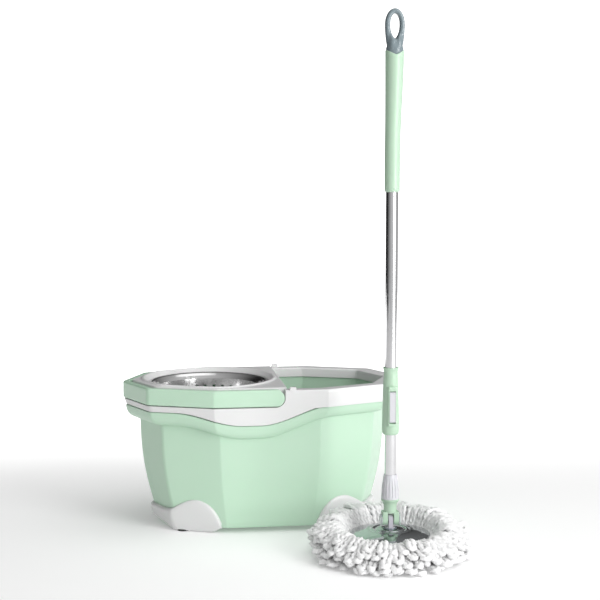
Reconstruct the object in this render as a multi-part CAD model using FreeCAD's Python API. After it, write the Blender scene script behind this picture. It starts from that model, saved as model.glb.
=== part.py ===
import FreeCAD, Part

import math
import os

from FreeCAD import Vector

# Spin mop with its wringer bucket. Millimetres, +Z up, +X along the bucket towards the water side,
# -Y towards the mop. The origin is on the floor, under the middle of the whole set's outline.

# ---- driving dimensions: bucket ----
RIM_HALF_LENGTH = 250.0
RIM_HALF_WIDTH = 137.0
RIM_Z = 255.0
CORNER_A = (0.84, 0.67)      # plan corner between the end panel and the slanting panel, of the half sizes
CORNER_E = (0.395, 1.0)      # plan corner between the slanting panel and the long panel
BODY_HALF_LENGTH = 220.0
BODY_HALF_WIDTH = 120.0
BODY_TOP_Z = 180.0
BODY_BOTTOM_Z = 8.5
TULIP_INSET = 32.0           # how far the ends draw in at the bottom
WALL = 3.0
SHELL_TOP_HALF_LENGTH = 226.0
SHELL_TOP_HALF_WIDTH = 120.8
SHELL_TOP_Z = 245.0
ROLL_HEIGHT = 23.0           # green roll below the white collar
SKIRT_DRAFT = 5.0
LIP_HALF_LENGTH = 219.0
LIP_HALF_WIDTH = 114.0
LIP_Z = 238.0

# ---- driving dimensions: carry handle ----
HANDLE_LOW_Z = 227.0
HANDLE_HIGH_Z = 256.0
HANDLE_PIVOT_X = 8.0
HANDLE_THICK = 12.0
POCKET_HALF_LENGTH = 233.5
POCKET_HALF_WIDTH = 124.0
POCKET_CLEARANCE = 1.5
STUD_RADIUS = 5.0

# ---- driving dimensions: deck, basket and spindle ----
DECK_RIGHT_X = 28.0
DECK_LOW_Z = 249.3
DECK_HIGH_Z = 258.0
BASKET_X = -97.0
RING_RADIUS = 118.0
THROAT_RADIUS = 106.5
THROAT_Z = 252.5
THROAT_DEPTH = 3.0
THROAT_WALL = 2.2
BASKET_RIM_RADIUS = 104.8
BASKET_RIM_Z = 252.0
BASKET_MOUTH_RADIUS = 94.3
BASKET_MOUTH_Z = 242.0
BASKET_FLOOR_RADIUS = 84.0
BASKET_FLOOR_Z = 158.0
STEEL = 0.8
HOLE_RADIUS = 2.6
HOLES_ROUND = 36
HOLE_ROWS = 5
PIN_RADIUS = 5.0
POST_TOP_Z = 139.0

# ---- driving dimensions: mop ----
NECK_PIN_Z = 60.0
NECK_TOP_Z = 95.2
PLATE_RADIUS = 65.5
PLATE_RIM_Z = 37.0
PLATE_TOP_Z = 46.0
HEAD_RADIUS = 140.0
HEAD_HIGH_Z = 54.0
LOWER_TUBE_RADIUS = 9.2
LOWER_TUBE_TOP_Z = 690.0
UPPER_TUBE_RADIUS = 9.75
UPPER_TUBE_BORE = 9.3
UPPER_TUBE_LOW_Z = 226.0
UPPER_TUBE_TOP_Z = 800.0
SLEEVE_LOW_Z = 202.0
SLEEVE_TOP_Z = 312.0
LEVER_PIN = (-14.4, 271.0)   # y and z of the lever's pin
GRIP_LOW_Z = 595.5
GRIP_TOP_Z = 819.0
HANGER_TOP_Z = 885.0
GRIP_LEAN = 2.6              # the grip's top sits this far to one side of the tube's axis
ROD_WIDTH = 9.0
ROD_THICK = 3.0
ROD_LEAD = 120.0
ROD_LOW_Z = 290.0
ROD_HIGH_Z = 730.0
SLOT_Z = 672.0
FIT = 0.05

# ---- where the bucket and the mop stand ----
MOP_OFFSET = (179.0, -270.0)  # mop axis from the bucket's middle
BUCKET_AT = Vector(
    (RIM_HALF_LENGTH - HEAD_RADIUS - MOP_OFFSET[0]) / 2,
    (HEAD_RADIUS - RIM_HALF_WIDTH - MOP_OFFSET[1]) / 2,
    0,
)
MOP_AT = BUCKET_AT + Vector(MOP_OFFSET[0], MOP_OFFSET[1], 0)

ACROSS = 300.0               # longer than anything it cuts
UP = Vector(0, 0, 1)
SIDES = (-1, 1)


# ---- plain shapes ----
def rod(radius, low, high, x=0.0, y=0.0):
    return Part.makeCylinder(radius, high - low, Vector(x, y, low))


def pipe(outer, inner, low, high, x=0.0, y=0.0):
    return rod(outer, low, high, x, y).cut(rod(inner, low - 1, high + 1, x, y))


def block(x0, x1, y0, y1, z0, z1):
    return Part.makeBox(x1 - x0, y1 - y0, z1 - z0, Vector(x0, y0, z0))


def crossbar(radius, x0, x1, y, z):
    return Part.makeCylinder(radius, x1 - x0, Vector(x0, y, z), Vector(1, 0, 0))


def turned(profile, x=0.0, y=0.0):
    """Solid of revolution about a vertical axis, from (radius, height) corners."""
    corners = [Vector(r, 0, z) for r, z in profile]
    face = Part.Face(Part.makePolygon(corners + corners[:1]))
    solid = face.revolve(Vector(0, 0, 0), UP, 360)
    solid.translate(Vector(x, y, 0))
    return solid


def group(solids):
    return Part.makeCompound(solids)


def save(node, shape, at):
    placed = shape.copy()
    placed.translate(at)
    placed.exportStep("parts/" + node + ".step")


# ---- the ten-sided plan shared by the bucket's pieces ----
def plan(half_length, half_width, z):
    quarter = [(1.0, 0.0), CORNER_A, CORNER_E]
    right = quarter[::-1] + [(x, -y) for x, y in quarter[1:]]
    left = [(-x, -y) for x, y in right]
    corners = [Vector(x * half_length, y * half_width, z) for x, y in right + left]
    return Part.makePolygon(corners + corners[:1])


def column(sections, ruled=True):
    """Solid through ten-sided sections given as (half_length, half_width, z)."""
    return Part.makeLoft([plan(*s) for s in sections], True, ruled)


def prism(half_length, half_width, low, high):
    return column([(half_length, half_width, low), (half_length, half_width, high)])


def smoothstep(t):
    t = min(1.0, max(0.0, t))
    return t * t * (3 - 2 * t)


def wave(x):
    """Height of the collar's lower edge along the bucket: high at both ends, dipping in the middle."""
    dip = 20.5 * smoothstep((x + 160) / 112)
    rise = 34.5 * smoothstep((x + 18) / 130)
    return 215.0 - dip + rise


def above_wave(drop):
    """Everything higher than the wave less drop, as one solid right across the bucket."""
    points = [Vector(x, -ACROSS, wave(x) - drop) for x in range(-270, 271, 18)]
    curve = Part.BSplineCurve()
    curve.interpolate(points)
    top_right = Vector(points[-1].x, -ACROSS, ACROSS)
    top_left = Vector(points[0].x, -ACROSS, ACROSS)
    sides = Part.makePolygon([points[-1], top_right, top_left, points[0]])
    outline = Part.Wire([curve.toShape()] + sides.Edges)
    return Part.Face(outline).extrude(Vector(0, 2 * ACROSS, 0))


# ---- bucket shell ----
def body_section(z, grow=0.0):
    t = (z - BODY_BOTTOM_Z) / (BODY_TOP_Z - BODY_BOTTOM_Z)
    half_length = BODY_HALF_LENGTH - TULIP_INSET * (1 - min(1.0, t)) ** 2
    half_width = half_length * BODY_HALF_WIDTH / BODY_HALF_LENGTH
    return (half_length + grow, half_width + grow, z)


def body_column(grow, low, high_z=BODY_TOP_Z):
    steps = 6
    heights = [low + (high_z - low) * i / steps for i in range(steps + 1)]
    return column([body_section(z, grow) for z in heights], ruled=False)


def bucket_shell():
    outer_top = [body_section(BODY_TOP_Z), (SHELL_TOP_HALF_LENGTH, SHELL_TOP_HALF_WIDTH, SHELL_TOP_Z)]
    inner_top = [(length - WALL, width - WALL, z) for length, width, z in outer_top]
    inner_top[1] = (inner_top[1][0], inner_top[1][1], SHELL_TOP_Z + 1)
    floor_z = BODY_BOTTOM_Z + WALL + 1
    outer = body_column(0, BODY_BOTTOM_Z).fuse(column(outer_top))
    inner = body_column(-WALL, floor_z).fuse(column(inner_top))
    shell = outer.cut(inner)
    roll = None
    steps = 4
    for i in range(steps):
        inset = 20.0 * (i / steps) ** 2
        ring = prism(243 - inset, 133 - inset * 0.6, 160, 240).cut(prism(219, 119, 159, 241))
        drop = 0.6 + ROLL_HEIGHT * i / steps
        ring = ring.common(above_wave(0.6 + ROLL_HEIGHT * (i + 1) / steps)).cut(above_wave(drop))
        roll = ring if roll is None else roll.fuse(ring)
    shell = shell.fuse(roll)
    for x, y in post_screw_places():
        shell = shell.fuse(rod(4.5, 3, BODY_BOTTOM_Z + 1, x, y))
        shell = shell.cut(rod(1.6, 4.5, BODY_BOTTOM_Z + 10, x, y))
    for x, y in foot_screw_places():
        shell = shell.cut(rod(1.6, BODY_BOTTOM_Z - 1, BODY_BOTTOM_Z + 3, x, y))
    return shell


# ---- white collar round the rim ----
def pocket_profile(extra):
    """Side outline of the space for the folded handle, grown by extra all round."""
    radius = (HANDLE_HIGH_Z - HANDLE_LOW_Z) / 2 + extra
    middle = (HANDLE_HIGH_Z + HANDLE_LOW_Z) / 2
    bar = block(-ACROSS, HANDLE_PIVOT_X, -ACROSS, ACROSS, middle - radius, RIM_Z + 10)
    start = Vector(HANDLE_PIVOT_X, -ACROSS, middle)
    end = Part.makeCylinder(radius, 2 * ACROSS, start, Vector(0, 1, 0))
    above = block(-ACROSS, HANDLE_PIVOT_X + radius, -ACROSS, ACROSS, middle, RIM_Z + 10)
    return bar.fuse(end).fuse(above)


def rim_collar():
    low = 185.0
    top = (RIM_HALF_LENGTH, RIM_HALF_WIDTH, RIM_Z)
    bottom = (RIM_HALF_LENGTH - SKIRT_DRAFT, RIM_HALF_WIDTH - SKIRT_DRAFT / 2, low)
    full = column([bottom, top])
    inside = [(length - WALL, width - WALL, z - WALL) for length, width, z in (bottom, top)]
    hole = prism(LIP_HALF_LENGTH, LIP_HALF_WIDTH, 0, 400)
    lip = prism(LIP_HALF_LENGTH + WALL, LIP_HALF_WIDTH + WALL, LIP_Z, RIM_Z - 1)
    hollow = full.cut(column(inside)).fuse(lip)
    pocket_block = pocket_profile(POCKET_CLEARANCE + WALL).common(full)
    pocket_block = pocket_block.cut(prism(POCKET_HALF_LENGTH - 2.5, POCKET_HALF_WIDTH - 2.5, 0, 400))
    pocket = pocket_profile(POCKET_CLEARANCE).cut(prism(POCKET_HALF_LENGTH, POCKET_HALF_WIDTH, 0, 400))
    seat = prism(POCKET_HALF_LENGTH + 1, POCKET_HALF_WIDTH + 1, 0, 400)
    seat = seat.common(block(-ACROSS, DECK_RIGHT_X + 1, -ACROSS, ACROSS, DECK_LOW_Z - 0.3, 400))
    ledge = prism(POCKET_HALF_LENGTH, POCKET_HALF_WIDTH, DECK_LOW_Z - WALL, DECK_LOW_Z - 0.3)
    ledge = ledge.common(block(-ACROSS, DECK_RIGHT_X + 3, -ACROSS, ACROSS, 0, 400))
    funnel_room = turned([(0, 244.5), (100.6, 244.5), (109, 249.5), (0, 249.5)], BASKET_X)
    collar = hollow.fuse(pocket_block).cut(pocket).cut(seat).fuse(ledge).cut(hole).cut(funnel_room)
    collar = collar.common(above_wave(0))
    middle = (HANDLE_HIGH_Z + HANDLE_LOW_Z) / 2
    bore = Part.makeCylinder(
        STUD_RADIUS + FIT, 2 * ACROSS, Vector(HANDLE_PIVOT_X, -ACROSS, middle), Vector(0, 1, 0)
    )
    collar = collar.cut(bore)
    for side in SIDES:
        inner = side * (RIM_HALF_WIDTH - 7)
        outer = side * (RIM_HALF_WIDTH - 0.5)
        tab = block(31, 43, min(inner, outer), max(inner, outer), RIM_Z - 2, RIM_Z + 5)
        collar = collar.fuse(tab)
    return collar.removeSplitter()


def carry_handle():
    radius = (HANDLE_HIGH_Z - HANDLE_LOW_Z) / 2
    middle = (HANDLE_HIGH_Z + HANDLE_LOW_Z) / 2
    outer = prism(RIM_HALF_LENGTH, RIM_HALF_WIDTH, HANDLE_LOW_Z, HANDLE_HIGH_Z)
    inner = prism(RIM_HALF_LENGTH - HANDLE_THICK, RIM_HALF_WIDTH - HANDLE_THICK, 0, 400)
    start = Vector(HANDLE_PIVOT_X, -ACROSS, middle)
    ends = Part.makeCylinder(radius, 2 * ACROSS, start, Vector(0, 1, 0))
    side = block(-ACROSS, HANDLE_PIVOT_X, -ACROSS, ACROSS, 0, 400).fuse(ends)
    handle = outer.cut(inner).common(side)
    for sign in SIDES:
        face_y = sign * (RIM_HALF_WIDTH - HANDLE_THICK - 3)
        stud = Part.makeCylinder(
            STUD_RADIUS, 5, Vector(HANDLE_PIVOT_X, face_y, middle), Vector(0, sign, 0)
        )
        handle = handle.fuse(stud)
    return handle


# ---- deck that carries the splash ring ----
def basket_deck():
    left = block(-ACROSS, DECK_RIGHT_X, -ACROSS, ACROSS, 0, 400)
    under = block(-ACROSS, DECK_RIGHT_X - WALL, -ACROSS, ACROSS, 0, DECK_HIGH_Z - 2.5)
    top = prism(POCKET_HALF_LENGTH, POCKET_HALF_WIDTH, DECK_LOW_Z, DECK_HIGH_Z).common(left)
    room = prism(POCKET_HALF_LENGTH - WALL, POCKET_HALF_WIDTH - WALL, 0, 400).common(under)
    partition = prism(LIP_HALF_LENGTH - 0.5, LIP_HALF_WIDTH - 0.5, 222, DECK_HIGH_Z - 1)
    partition = partition.common(block(DECK_RIGHT_X - WALL, DECK_RIGHT_X, -ACROSS, ACROSS, 0, 400))
    well = rod(RING_RADIUS - 1, 200, 300, BASKET_X)
    ring = turned(
        [
            (RING_RADIUS, DECK_HIGH_Z - 2.5),
            (RING_RADIUS, DECK_HIGH_Z + 1.5),
            (RING_RADIUS - 2, DECK_HIGH_Z + 2.5),
            (THROAT_RADIUS, THROAT_Z),
            (THROAT_RADIUS, THROAT_Z - THROAT_DEPTH),
            (THROAT_RADIUS + THROAT_WALL, THROAT_Z - THROAT_DEPTH),
            (THROAT_RADIUS + THROAT_WALL, THROAT_Z - 1),
        ],
        BASKET_X,
    )
    ring = ring.common(prism(POCKET_HALF_LENGTH - 0.3, POCKET_HALF_WIDTH - 0.3, 0, 400))
    return top.cut(room).fuse(partition).cut(well).fuse(ring)


# ---- spindle ----
def post_screw_places():
    return [ring_place(BASKET_X, 43, 120 * i + 30) for i in range(3)]


def ring_place(x, radius, degrees):
    angle = math.radians(degrees)
    return (x + radius * math.cos(angle), radius * math.sin(angle))


def spindle_post():
    floor_z = BODY_BOTTOM_Z + WALL + 1
    flange = [(0, floor_z), (48, floor_z), (48, floor_z + 3.5), (39, floor_z + 3.5)]
    cone = turned(flange + [(36, floor_z + 6), (14, POST_TOP_Z), (0, POST_TOP_Z)], BASKET_X)
    inside_top = POST_TOP_Z - 16
    room = turned([(0, floor_z - 1), (33, floor_z - 1), (12, inside_top), (0, inside_top)], BASKET_X)
    cone = cone.cut(room).fuse(rod(9, floor_z + 40, POST_TOP_Z, BASKET_X))
    cone = cone.cut(rod(PIN_RADIUS + FIT, floor_z + 45, POST_TOP_Z + 1, BASKET_X))
    for x, y in post_screw_places():
        cone = cone.cut(rod(1.8, 0, 100, x, y))
    return cone


def spindle_pin():
    pin = rod(PIN_RADIUS, 60, 170, BASKET_X)
    return pin.makeChamfer(1.2, [pin.Edges[0], pin.Edges[2]])


def pan_screw(x, y, low, high, radius, head_radius, head_height, head_up=True):
    shank = rod(radius, low, high, x, y)
    if head_up:
        head = rod(head_radius, high, high + head_height, x, y)
    else:
        head = rod(head_radius, low - head_height, low, x, y)
    return shank.fuse(head)


def post_screws():
    floor_z = BODY_BOTTOM_Z + WALL + 1
    return group([pan_screw(x, y, 5, floor_z + 3.6, 1.5, 3.2, 2) for x, y in post_screw_places()])


# ---- feet ----
def foot_screw_places():
    places = []
    for side_x in SIDES:
        for side_y in SIDES:
            places.append((side_x * 122, side_y * 52))
            places.append((side_x * 158, side_y * 22))
    return places


def foot_outline():
    """Side view of one shoe: a tall arch on the slanting panel, low round the end."""
    outline = [
        Vector(-230, -ACROSS, 1.5),
        Vector(-230, -ACROSS, 36),
        Vector(-188, -ACROSS, 37),
        Vector(-170, -ACROSS, 47),
        Vector(-150, -ACROSS, 56.5),
        Vector(-131, -ACROSS, 59),
        Vector(-112, -ACROSS, 54),
        Vector(-99, -ACROSS, 42),
        Vector(-92, -ACROSS, 26),
        Vector(-88, -ACROSS, 1.5),
    ]
    curve = Part.BSplineCurve()
    curve.interpolate(outline[1:])
    base = Part.makePolygon([outline[-1], outline[0], outline[1]])
    return Part.Face(Part.Wire([curve.toShape()] + base.Edges)).extrude(Vector(0, 2 * ACROSS, 0))


def front_left_foot():
    outside = column([(190, 103, 1.5), (197, 108, 8), (204.5, 112, 26), (211, 115.5, 60)], ruled=False)
    shoe = outside.common(foot_outline()).common(block(-ACROSS, 0, -ACROSS, -1.5, 0, 100))
    shoe = shoe.cut(body_column(0.3, BODY_BOTTOM_Z - 0.3))
    shoe = shoe.cut(block(-100, 0, -60, 0, 0, 100))
    for x, y in foot_screw_places():
        shoe = shoe.cut(rod(1.8, 0, 100, x, y))
        shoe = shoe.cut(rod(3.8, 0, 4.4, x, y))
    for x, y in pad_places():
        shoe = shoe.cut(rod(11.1, 0, 3, x, y))
    for x, y in post_screw_places():
        shoe = shoe.cut(rod(5.2, 0, 20, x, -abs(y)))
    return shoe


def pad_places():
    return [(sx * 148, sy * 66) for sx in SIDES for sy in SIDES]


def save_feet():
    shoe = front_left_foot()
    for end, sign_x in (("left", 1), ("right", -1)):
        for face, sign_y in (("front", 1), ("rear", -1)):
            foot = shoe.copy()
            if sign_x < 0:
                foot = foot.mirror(Vector(0, 0, 0), Vector(1, 0, 0))
            if sign_y < 0:
                foot = foot.mirror(Vector(0, 0, 0), Vector(0, 1, 0))
            save("foot_" + face + "_" + end, foot, BUCKET_AT)
    screws = [pan_screw(x, y, 4.4, 11, 1.5, 3.2, 1.8, False) for x, y in foot_screw_places()]
    save("foot_screws", group(screws), BUCKET_AT)
    save("foot_pads", group([rod(11, 0, 2.9, x, y) for x, y in pad_places()]), BUCKET_AT)


# ---- spinning basket ----
def basket_wall():
    rim = BASKET_RIM_RADIUS
    high = BASKET_RIM_Z
    shell = turned(
        [
            (rim, high - 3),
            (rim, high),
            (rim - 2.5, high + 0.6),
            (rim - 6, high - 1),
            (rim - 9, high - 5),
            (BASKET_MOUTH_RADIUS - STEEL, BASKET_MOUTH_Z),
            (BASKET_FLOOR_RADIUS - STEEL, BASKET_FLOOR_Z + 8),
            (BASKET_FLOOR_RADIUS - 8, BASKET_FLOOR_Z + STEEL),
            (24, BASKET_FLOOR_Z + STEEL),
            (24, BASKET_FLOOR_Z),
            (BASKET_FLOOR_RADIUS - 7.5, BASKET_FLOOR_Z),
            (BASKET_FLOOR_RADIUS, BASKET_FLOOR_Z + 7.5),
            (BASKET_MOUTH_RADIUS, BASKET_MOUTH_Z),
            (rim - 8, high - 5.4),
            (rim - 5.2, high - 1.9),
            (rim - 2.2, high - 0.4),
            (rim - STEEL, high - 0.8),
            (rim - STEEL, high - 3),
        ],
    )
    drills = []
    for row in range(HOLE_ROWS):
        z = BASKET_FLOOR_Z + 18 + 13 * row
        for i in range(HOLES_ROUND):
            angle = math.radians(360 / HOLES_ROUND * (i + 0.5 * (row % 2)))
            way = Vector(math.cos(angle), math.sin(angle), 0)
            drills.append(Part.makeCylinder(HOLE_RADIUS, 30, way * 75 + UP * z, way))
    for i in range(12):
        x, y = ring_place(0, 62, 30 * i)
        drills.append(rod(4, BASKET_FLOOR_Z - 2, BASKET_FLOOR_Z + 3, x, y))
    for x, y in hub_screw_places(0):
        drills.append(rod(1.8, BASKET_FLOOR_Z - 2, BASKET_FLOOR_Z + 3, x, y))
    wall = shell.cut(group(drills))
    wall.translate(Vector(BASKET_X, 0, 0))
    return wall


def hub_screw_places(x):
    return [ring_place(x, 32, 90 * i + 45) for i in range(4)]


def basket_hub():
    low = POST_TOP_Z + 6
    hub = turned(
        [
            (0, low),
            (14, low),
            (17, BASKET_FLOOR_Z - 5),
            (40, BASKET_FLOOR_Z - 5),
            (40, BASKET_FLOOR_Z - 0.1),
            (23.5, BASKET_FLOOR_Z - 0.1),
            (20, BASKET_FLOOR_Z + 8),
            (13, BASKET_FLOOR_Z + 34),
            (9, BASKET_FLOOR_Z + 39),
            (0, BASKET_FLOOR_Z + 40),
        ],
        BASKET_X,
    )
    hub = hub.cut(rod(8.05, low - 1, 178, BASKET_X))
    for x, y in hub_screw_places(BASKET_X):
        hub = hub.cut(rod(1.8, 100, 250, x, y))
    return hub


def hub_screws():
    low = BASKET_FLOOR_Z - 5.1
    high = BASKET_FLOOR_Z + 6
    screws = [pan_screw(x, y, low, high, 1.6, 3.4, 2, False) for x, y in hub_screw_places(BASKET_X)]
    nuts = [pipe(3.4, 1.65, high - 5.1, high - 2.6, x, y) for x, y in hub_screw_places(BASKET_X)]
    return group(screws + nuts)


# ---- mop head ----
def mop_plate():
    """Pressed steel dome with a rolled rim and two raised rings."""
    steps = 24
    top = []
    for i in range(steps + 1):
        r = 12 + (PLATE_RADIUS - 12) * i / steps
        t = i / steps
        bump = 0.7 * (math.cos(6 * math.pi * t) - 1) * (1 - t)
        top.append((r, PLATE_TOP_Z - (PLATE_TOP_Z - PLATE_RIM_Z) * t ** 2.2 + bump))
    under = [(r, z - STEEL) for r, z in top[::-1]]
    return turned(top + under)


def plate_base():
    spigot_z = PLATE_TOP_Z + 0.6
    base = turned([(0, 24), (58, 24), (58, 33), (30, 36), (11.5, 40), (11.5, spigot_z), (0, spigot_z)])
    base = base.cut(rod(2.2, 20, 60))
    return base.cut(rod(5.2, 20, 28))


def yarn_ring():
    return turned([(58.5, 24.5), (73, 24.5), (74, 26), (73, 28.5), (58.5, 28.5)])


def yarn_fringe():
    profile = [
        (30, 0),
        (122, 0),
        (134, 6),
        (HEAD_RADIUS, 20),
        (136, 34),
        (124, 46),
        (104, HEAD_HIGH_Z),
        (86, HEAD_HIGH_Z - 3),
        (75, HEAD_HIGH_Z - 12),
        (75, 22),
        (30, 22),
    ]
    return turned(profile)


def plate_hub():
    """Flange on the dome with the upright tongue that the yoke straddles."""
    low = PLATE_TOP_Z + 0.7
    tongue = block(-3.8, 3.8, -9, 9, low, NECK_PIN_Z)
    crown = crossbar(9, -3.8, 3.8, 0, NECK_PIN_Z)
    hub = turned([(0, low), (18, low), (17, low + 1.6), (13, low + 2.4), (0, low + 2.4)])
    hub = hub.fuse(tongue).fuse(crown)
    return hub.cut(rod(1.7, low - 1, low + 5)).cut(crossbar(3 + FIT, -10, 10, 0, NECK_PIN_Z))


def hub_bolt():
    return pan_screw(0, 0, 28, PLATE_TOP_Z + 5.5, 1.65, 5, 2.6, False)


# ---- neck and lower pole ----
def neck_yoke():
    ear_radius = 9.5
    ears = crossbar(ear_radius, -11, 11, 0, NECK_PIN_Z)
    ears = ears.fuse(block(-11, 11, -ear_radius, ear_radius, NECK_PIN_Z, NECK_PIN_Z + 20))
    ears = ears.cut(block(-4.3, 4.3, -20, 20, 0, NECK_PIN_Z + 10.5))
    throat = [(0, 74), (10.5, 74), (11.5, 78), (13, 92), (13, NECK_TOP_Z)]
    neck = turned(throat + [(8.35, NECK_TOP_Z), (8.35, 122), (0, 122)])
    return ears.fuse(neck).cut(crossbar(3 + FIT, -20, 20, 0, NECK_PIN_Z))


def pin_caps():
    caps = []
    for side in SIDES:
        start = 11.1 if side > 0 else -16.6
        cap = crossbar(7.5, start, start + 5.5, 0, NECK_PIN_Z)
        caps.append(cap.cut(crossbar(3 + FIT, -13.5, 13.5, 0, NECK_PIN_Z)))
    return group(caps)


def neck_cap():
    """Fluted ferrule that closes the joint between the tube and the neck."""
    low = NECK_TOP_Z + 0.3
    skirt = [(9.25, low), (15, low), (14.6, low + 4), (13.6, low + 20)]
    cap = turned(skirt + [(11.4, low + 36), (10.6, low + 40), (9.25, low + 40)])
    flutes = []
    count = 16
    for i in range(count):
        x, y = ring_place(0, 15.6, 360 / count * i)
        lean = Vector(-x, -y, 0) * 0.11
        flutes.append(Part.makeCylinder(1.7, 34, Vector(x, y, low + 3), Vector(lean.x, lean.y, 20)))
    return cap.cut(group(flutes))


def lower_tube():
    return pipe(LOWER_TUBE_RADIUS, 8.4, NECK_TOP_Z + 0.3, LOWER_TUBE_TOP_Z)


def drive_nut():
    """Plastic nut whose slot the twisted rod turns as it slides."""
    nut = pipe(8.35, 5.6, LOWER_TUBE_TOP_Z - 20, LOWER_TUBE_TOP_Z)
    nut = nut.cut(rod(6.3, LOWER_TUBE_TOP_Z - 6.5, LOWER_TUBE_TOP_Z + 1))
    cheeks = rod(6, SLOT_Z - 1, SLOT_Z + 1).cut(block(-10, 10, -1.95, 1.95, 0, 1000))
    return nut.fuse(cheeks)


def guide_bush():
    top = pipe(UPPER_TUBE_BORE - FIT, 5.6, LOWER_TUBE_TOP_Z + 0.3, LOWER_TUBE_TOP_Z + 10)
    return top.fuse(pipe(6.25, 5.6, LOWER_TUBE_TOP_Z - 6, LOWER_TUBE_TOP_Z + 1))


# ---- upper pole ----
def spiral_rod():
    sections = []
    step = 8.0
    for i in range(int((ROD_HIGH_Z - ROD_LOW_Z) / step) + 1):
        z = ROD_LOW_Z + step * i
        turn = 360 * (z - SLOT_Z) / ROD_LEAD
        half_w = ROD_WIDTH / 2
        half_t = ROD_THICK / 2
        corners = [(half_w, half_t), (-half_w, half_t), (-half_w, -half_t), (half_w, -half_t)]
        outline = [Vector(x, y, z) for x, y in corners]
        section = Part.makePolygon(outline + outline[:1])
        section.rotate(Vector(0, 0, 0), UP, turn)
        sections.append(section)
    return Part.makeLoft(sections, True, False).cut(rivet(1.55))


def rivet(radius):
    return crossbar(radius, -9.6, 9.6, 0, 721)


def rod_plug():
    low = LOWER_TUBE_TOP_Z + 10.5
    plug = rod(UPPER_TUBE_BORE - FIT, low, 736)
    return plug.cut(rod(4.85, low - 1, 731)).cut(rivet(1.55))


def upper_tube():
    return pipe(UPPER_TUBE_RADIUS, UPPER_TUBE_BORE, UPPER_TUBE_LOW_Z, UPPER_TUBE_TOP_Z).cut(rivet(1.55))


def lock_sleeve():
    low = SLEEVE_LOW_Z
    top = SLEEVE_TOP_Z
    outside = turned(
        [
            (0, low),
            (11.5, low),
            (13.4, low + 2.5),
            (14.2, low + 9),
            (13.7, low + 35),
            (12.5, low + 80),
            (11.5, top - 11),
            (11.7, top - 5),
            (12.9, top - 1),
            (12.6, top),
            (0, top),
        ]
    )
    housing = block(-7.6, 7.6, -17, 0, low + 16, top - 30)
    upright = [edge for edge in housing.Edges if abs(edge.tangentAt(edge.FirstParameter).z) > 0.9]
    front = [edge for edge in upright if edge.CenterOfMass.y < -10]
    housing = housing.makeFillet(3, front)
    sleeve = outside.fuse(housing)
    pocket = block(-5.2, 5.2, -30, -11.4, low + 20, LEVER_PIN[1] + 4)
    bores = rod(UPPER_TUBE_RADIUS + FIT, UPPER_TUBE_LOW_Z - 0.2, top + 1).fuse(rod(9.35, low - 1, top))
    return sleeve.cut(pocket).cut(bores).cut(crossbar(1.3, -6.6, 6.6, *LEVER_PIN))


def lever_pin():
    return crossbar(1.25, -6.5, 6.5, *LEVER_PIN)


def lock_lever():
    y, z = LEVER_PIN
    blade = block(-4.9, 4.9, y - 2.6, y + 2.6, SLEEVE_LOW_Z + 21.5, z)
    nose = [edge for edge in blade.Edges if edge.CenterOfMass.z < SLEEVE_LOW_Z + 22]
    nose = [edge for edge in nose if abs(edge.CenterOfMass.y - (y - 2.6)) < 0.1]
    blade = blade.makeFillet(2, nose)
    lever = blade.fuse(crossbar(2.6, -4.9, 4.9, y, z))
    return lever.cut(crossbar(1.3, -10, 10, y, z))


def lean(z):
    return GRIP_LEAN * smoothstep((z - 640) / (GRIP_TOP_Z - 640))


def grip_radius(z):
    """Slim at the bottom, swelling towards the hanging loop."""
    return 12.1 + 2.6 * smoothstep((z - 670) / (GRIP_TOP_Z + 10 - 670)) + 0.2 * smoothstep((z - 600) / 40)


def grip():
    steps = 10
    circles = []
    for i in range(steps + 1):
        z = GRIP_LOW_Z + (GRIP_TOP_Z - GRIP_LOW_Z) * i / steps
        circles.append(Part.Wire(Part.makeCircle(grip_radius(z), Vector(lean(z), 0, z))))
    body = Part.makeLoft(circles, True, False)
    ends = [edge for edge in body.Edges if edge.Closed and abs(edge.tangentAt(0.1).z) < 0.01]
    lower = [edge for edge in ends if edge.BoundBox.ZMax < GRIP_LOW_Z + 1]
    body = body.makeFillet(1.6, lower)
    bore = rod(UPPER_TUBE_RADIUS + FIT, GRIP_LOW_Z - 1, UPPER_TUBE_TOP_Z + 0.5)
    return body.cut(bore).cut(rod(7.05, 804, GRIP_TOP_Z + 1, GRIP_LEAN))


def stadium(half_width, low, high, half_depth):
    """Upright loop blank in the XZ plane, round at both ends."""
    bar = block(-half_width, half_width, -half_depth, half_depth, low + half_width, high - half_width)
    for z in (low + half_width, high - half_width):
        start = Vector(0, -half_depth, z)
        bar = bar.fuse(Part.makeCylinder(half_width, 2 * half_depth, start, Vector(0, 1, 0)))
    return bar


def hanger():
    high = HANGER_TOP_Z
    loop = stadium(15.7, high - 66, high, 6.5).removeSplitter()
    rim = [edge for edge in loop.Edges if abs(abs(edge.CenterOfMass.y) - 6.5) < 0.1]
    loop = loop.makeFillet(2.5, rim)
    collar = Part.makeCone(14.6, 12.5, 18, Vector(0, 0, GRIP_TOP_Z + 0.2))
    eye = stadium(7.9, 838, high - 8.5, 20)
    body = loop.common(block(-50, 50, -50, 50, GRIP_TOP_Z + 0.2, 1000)).fuse(collar)
    body = body.cut(eye).fuse(rod(7, 805, GRIP_TOP_Z + 1))
    body.translate(Vector(GRIP_LEAN, 0, 0))
    return body


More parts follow.
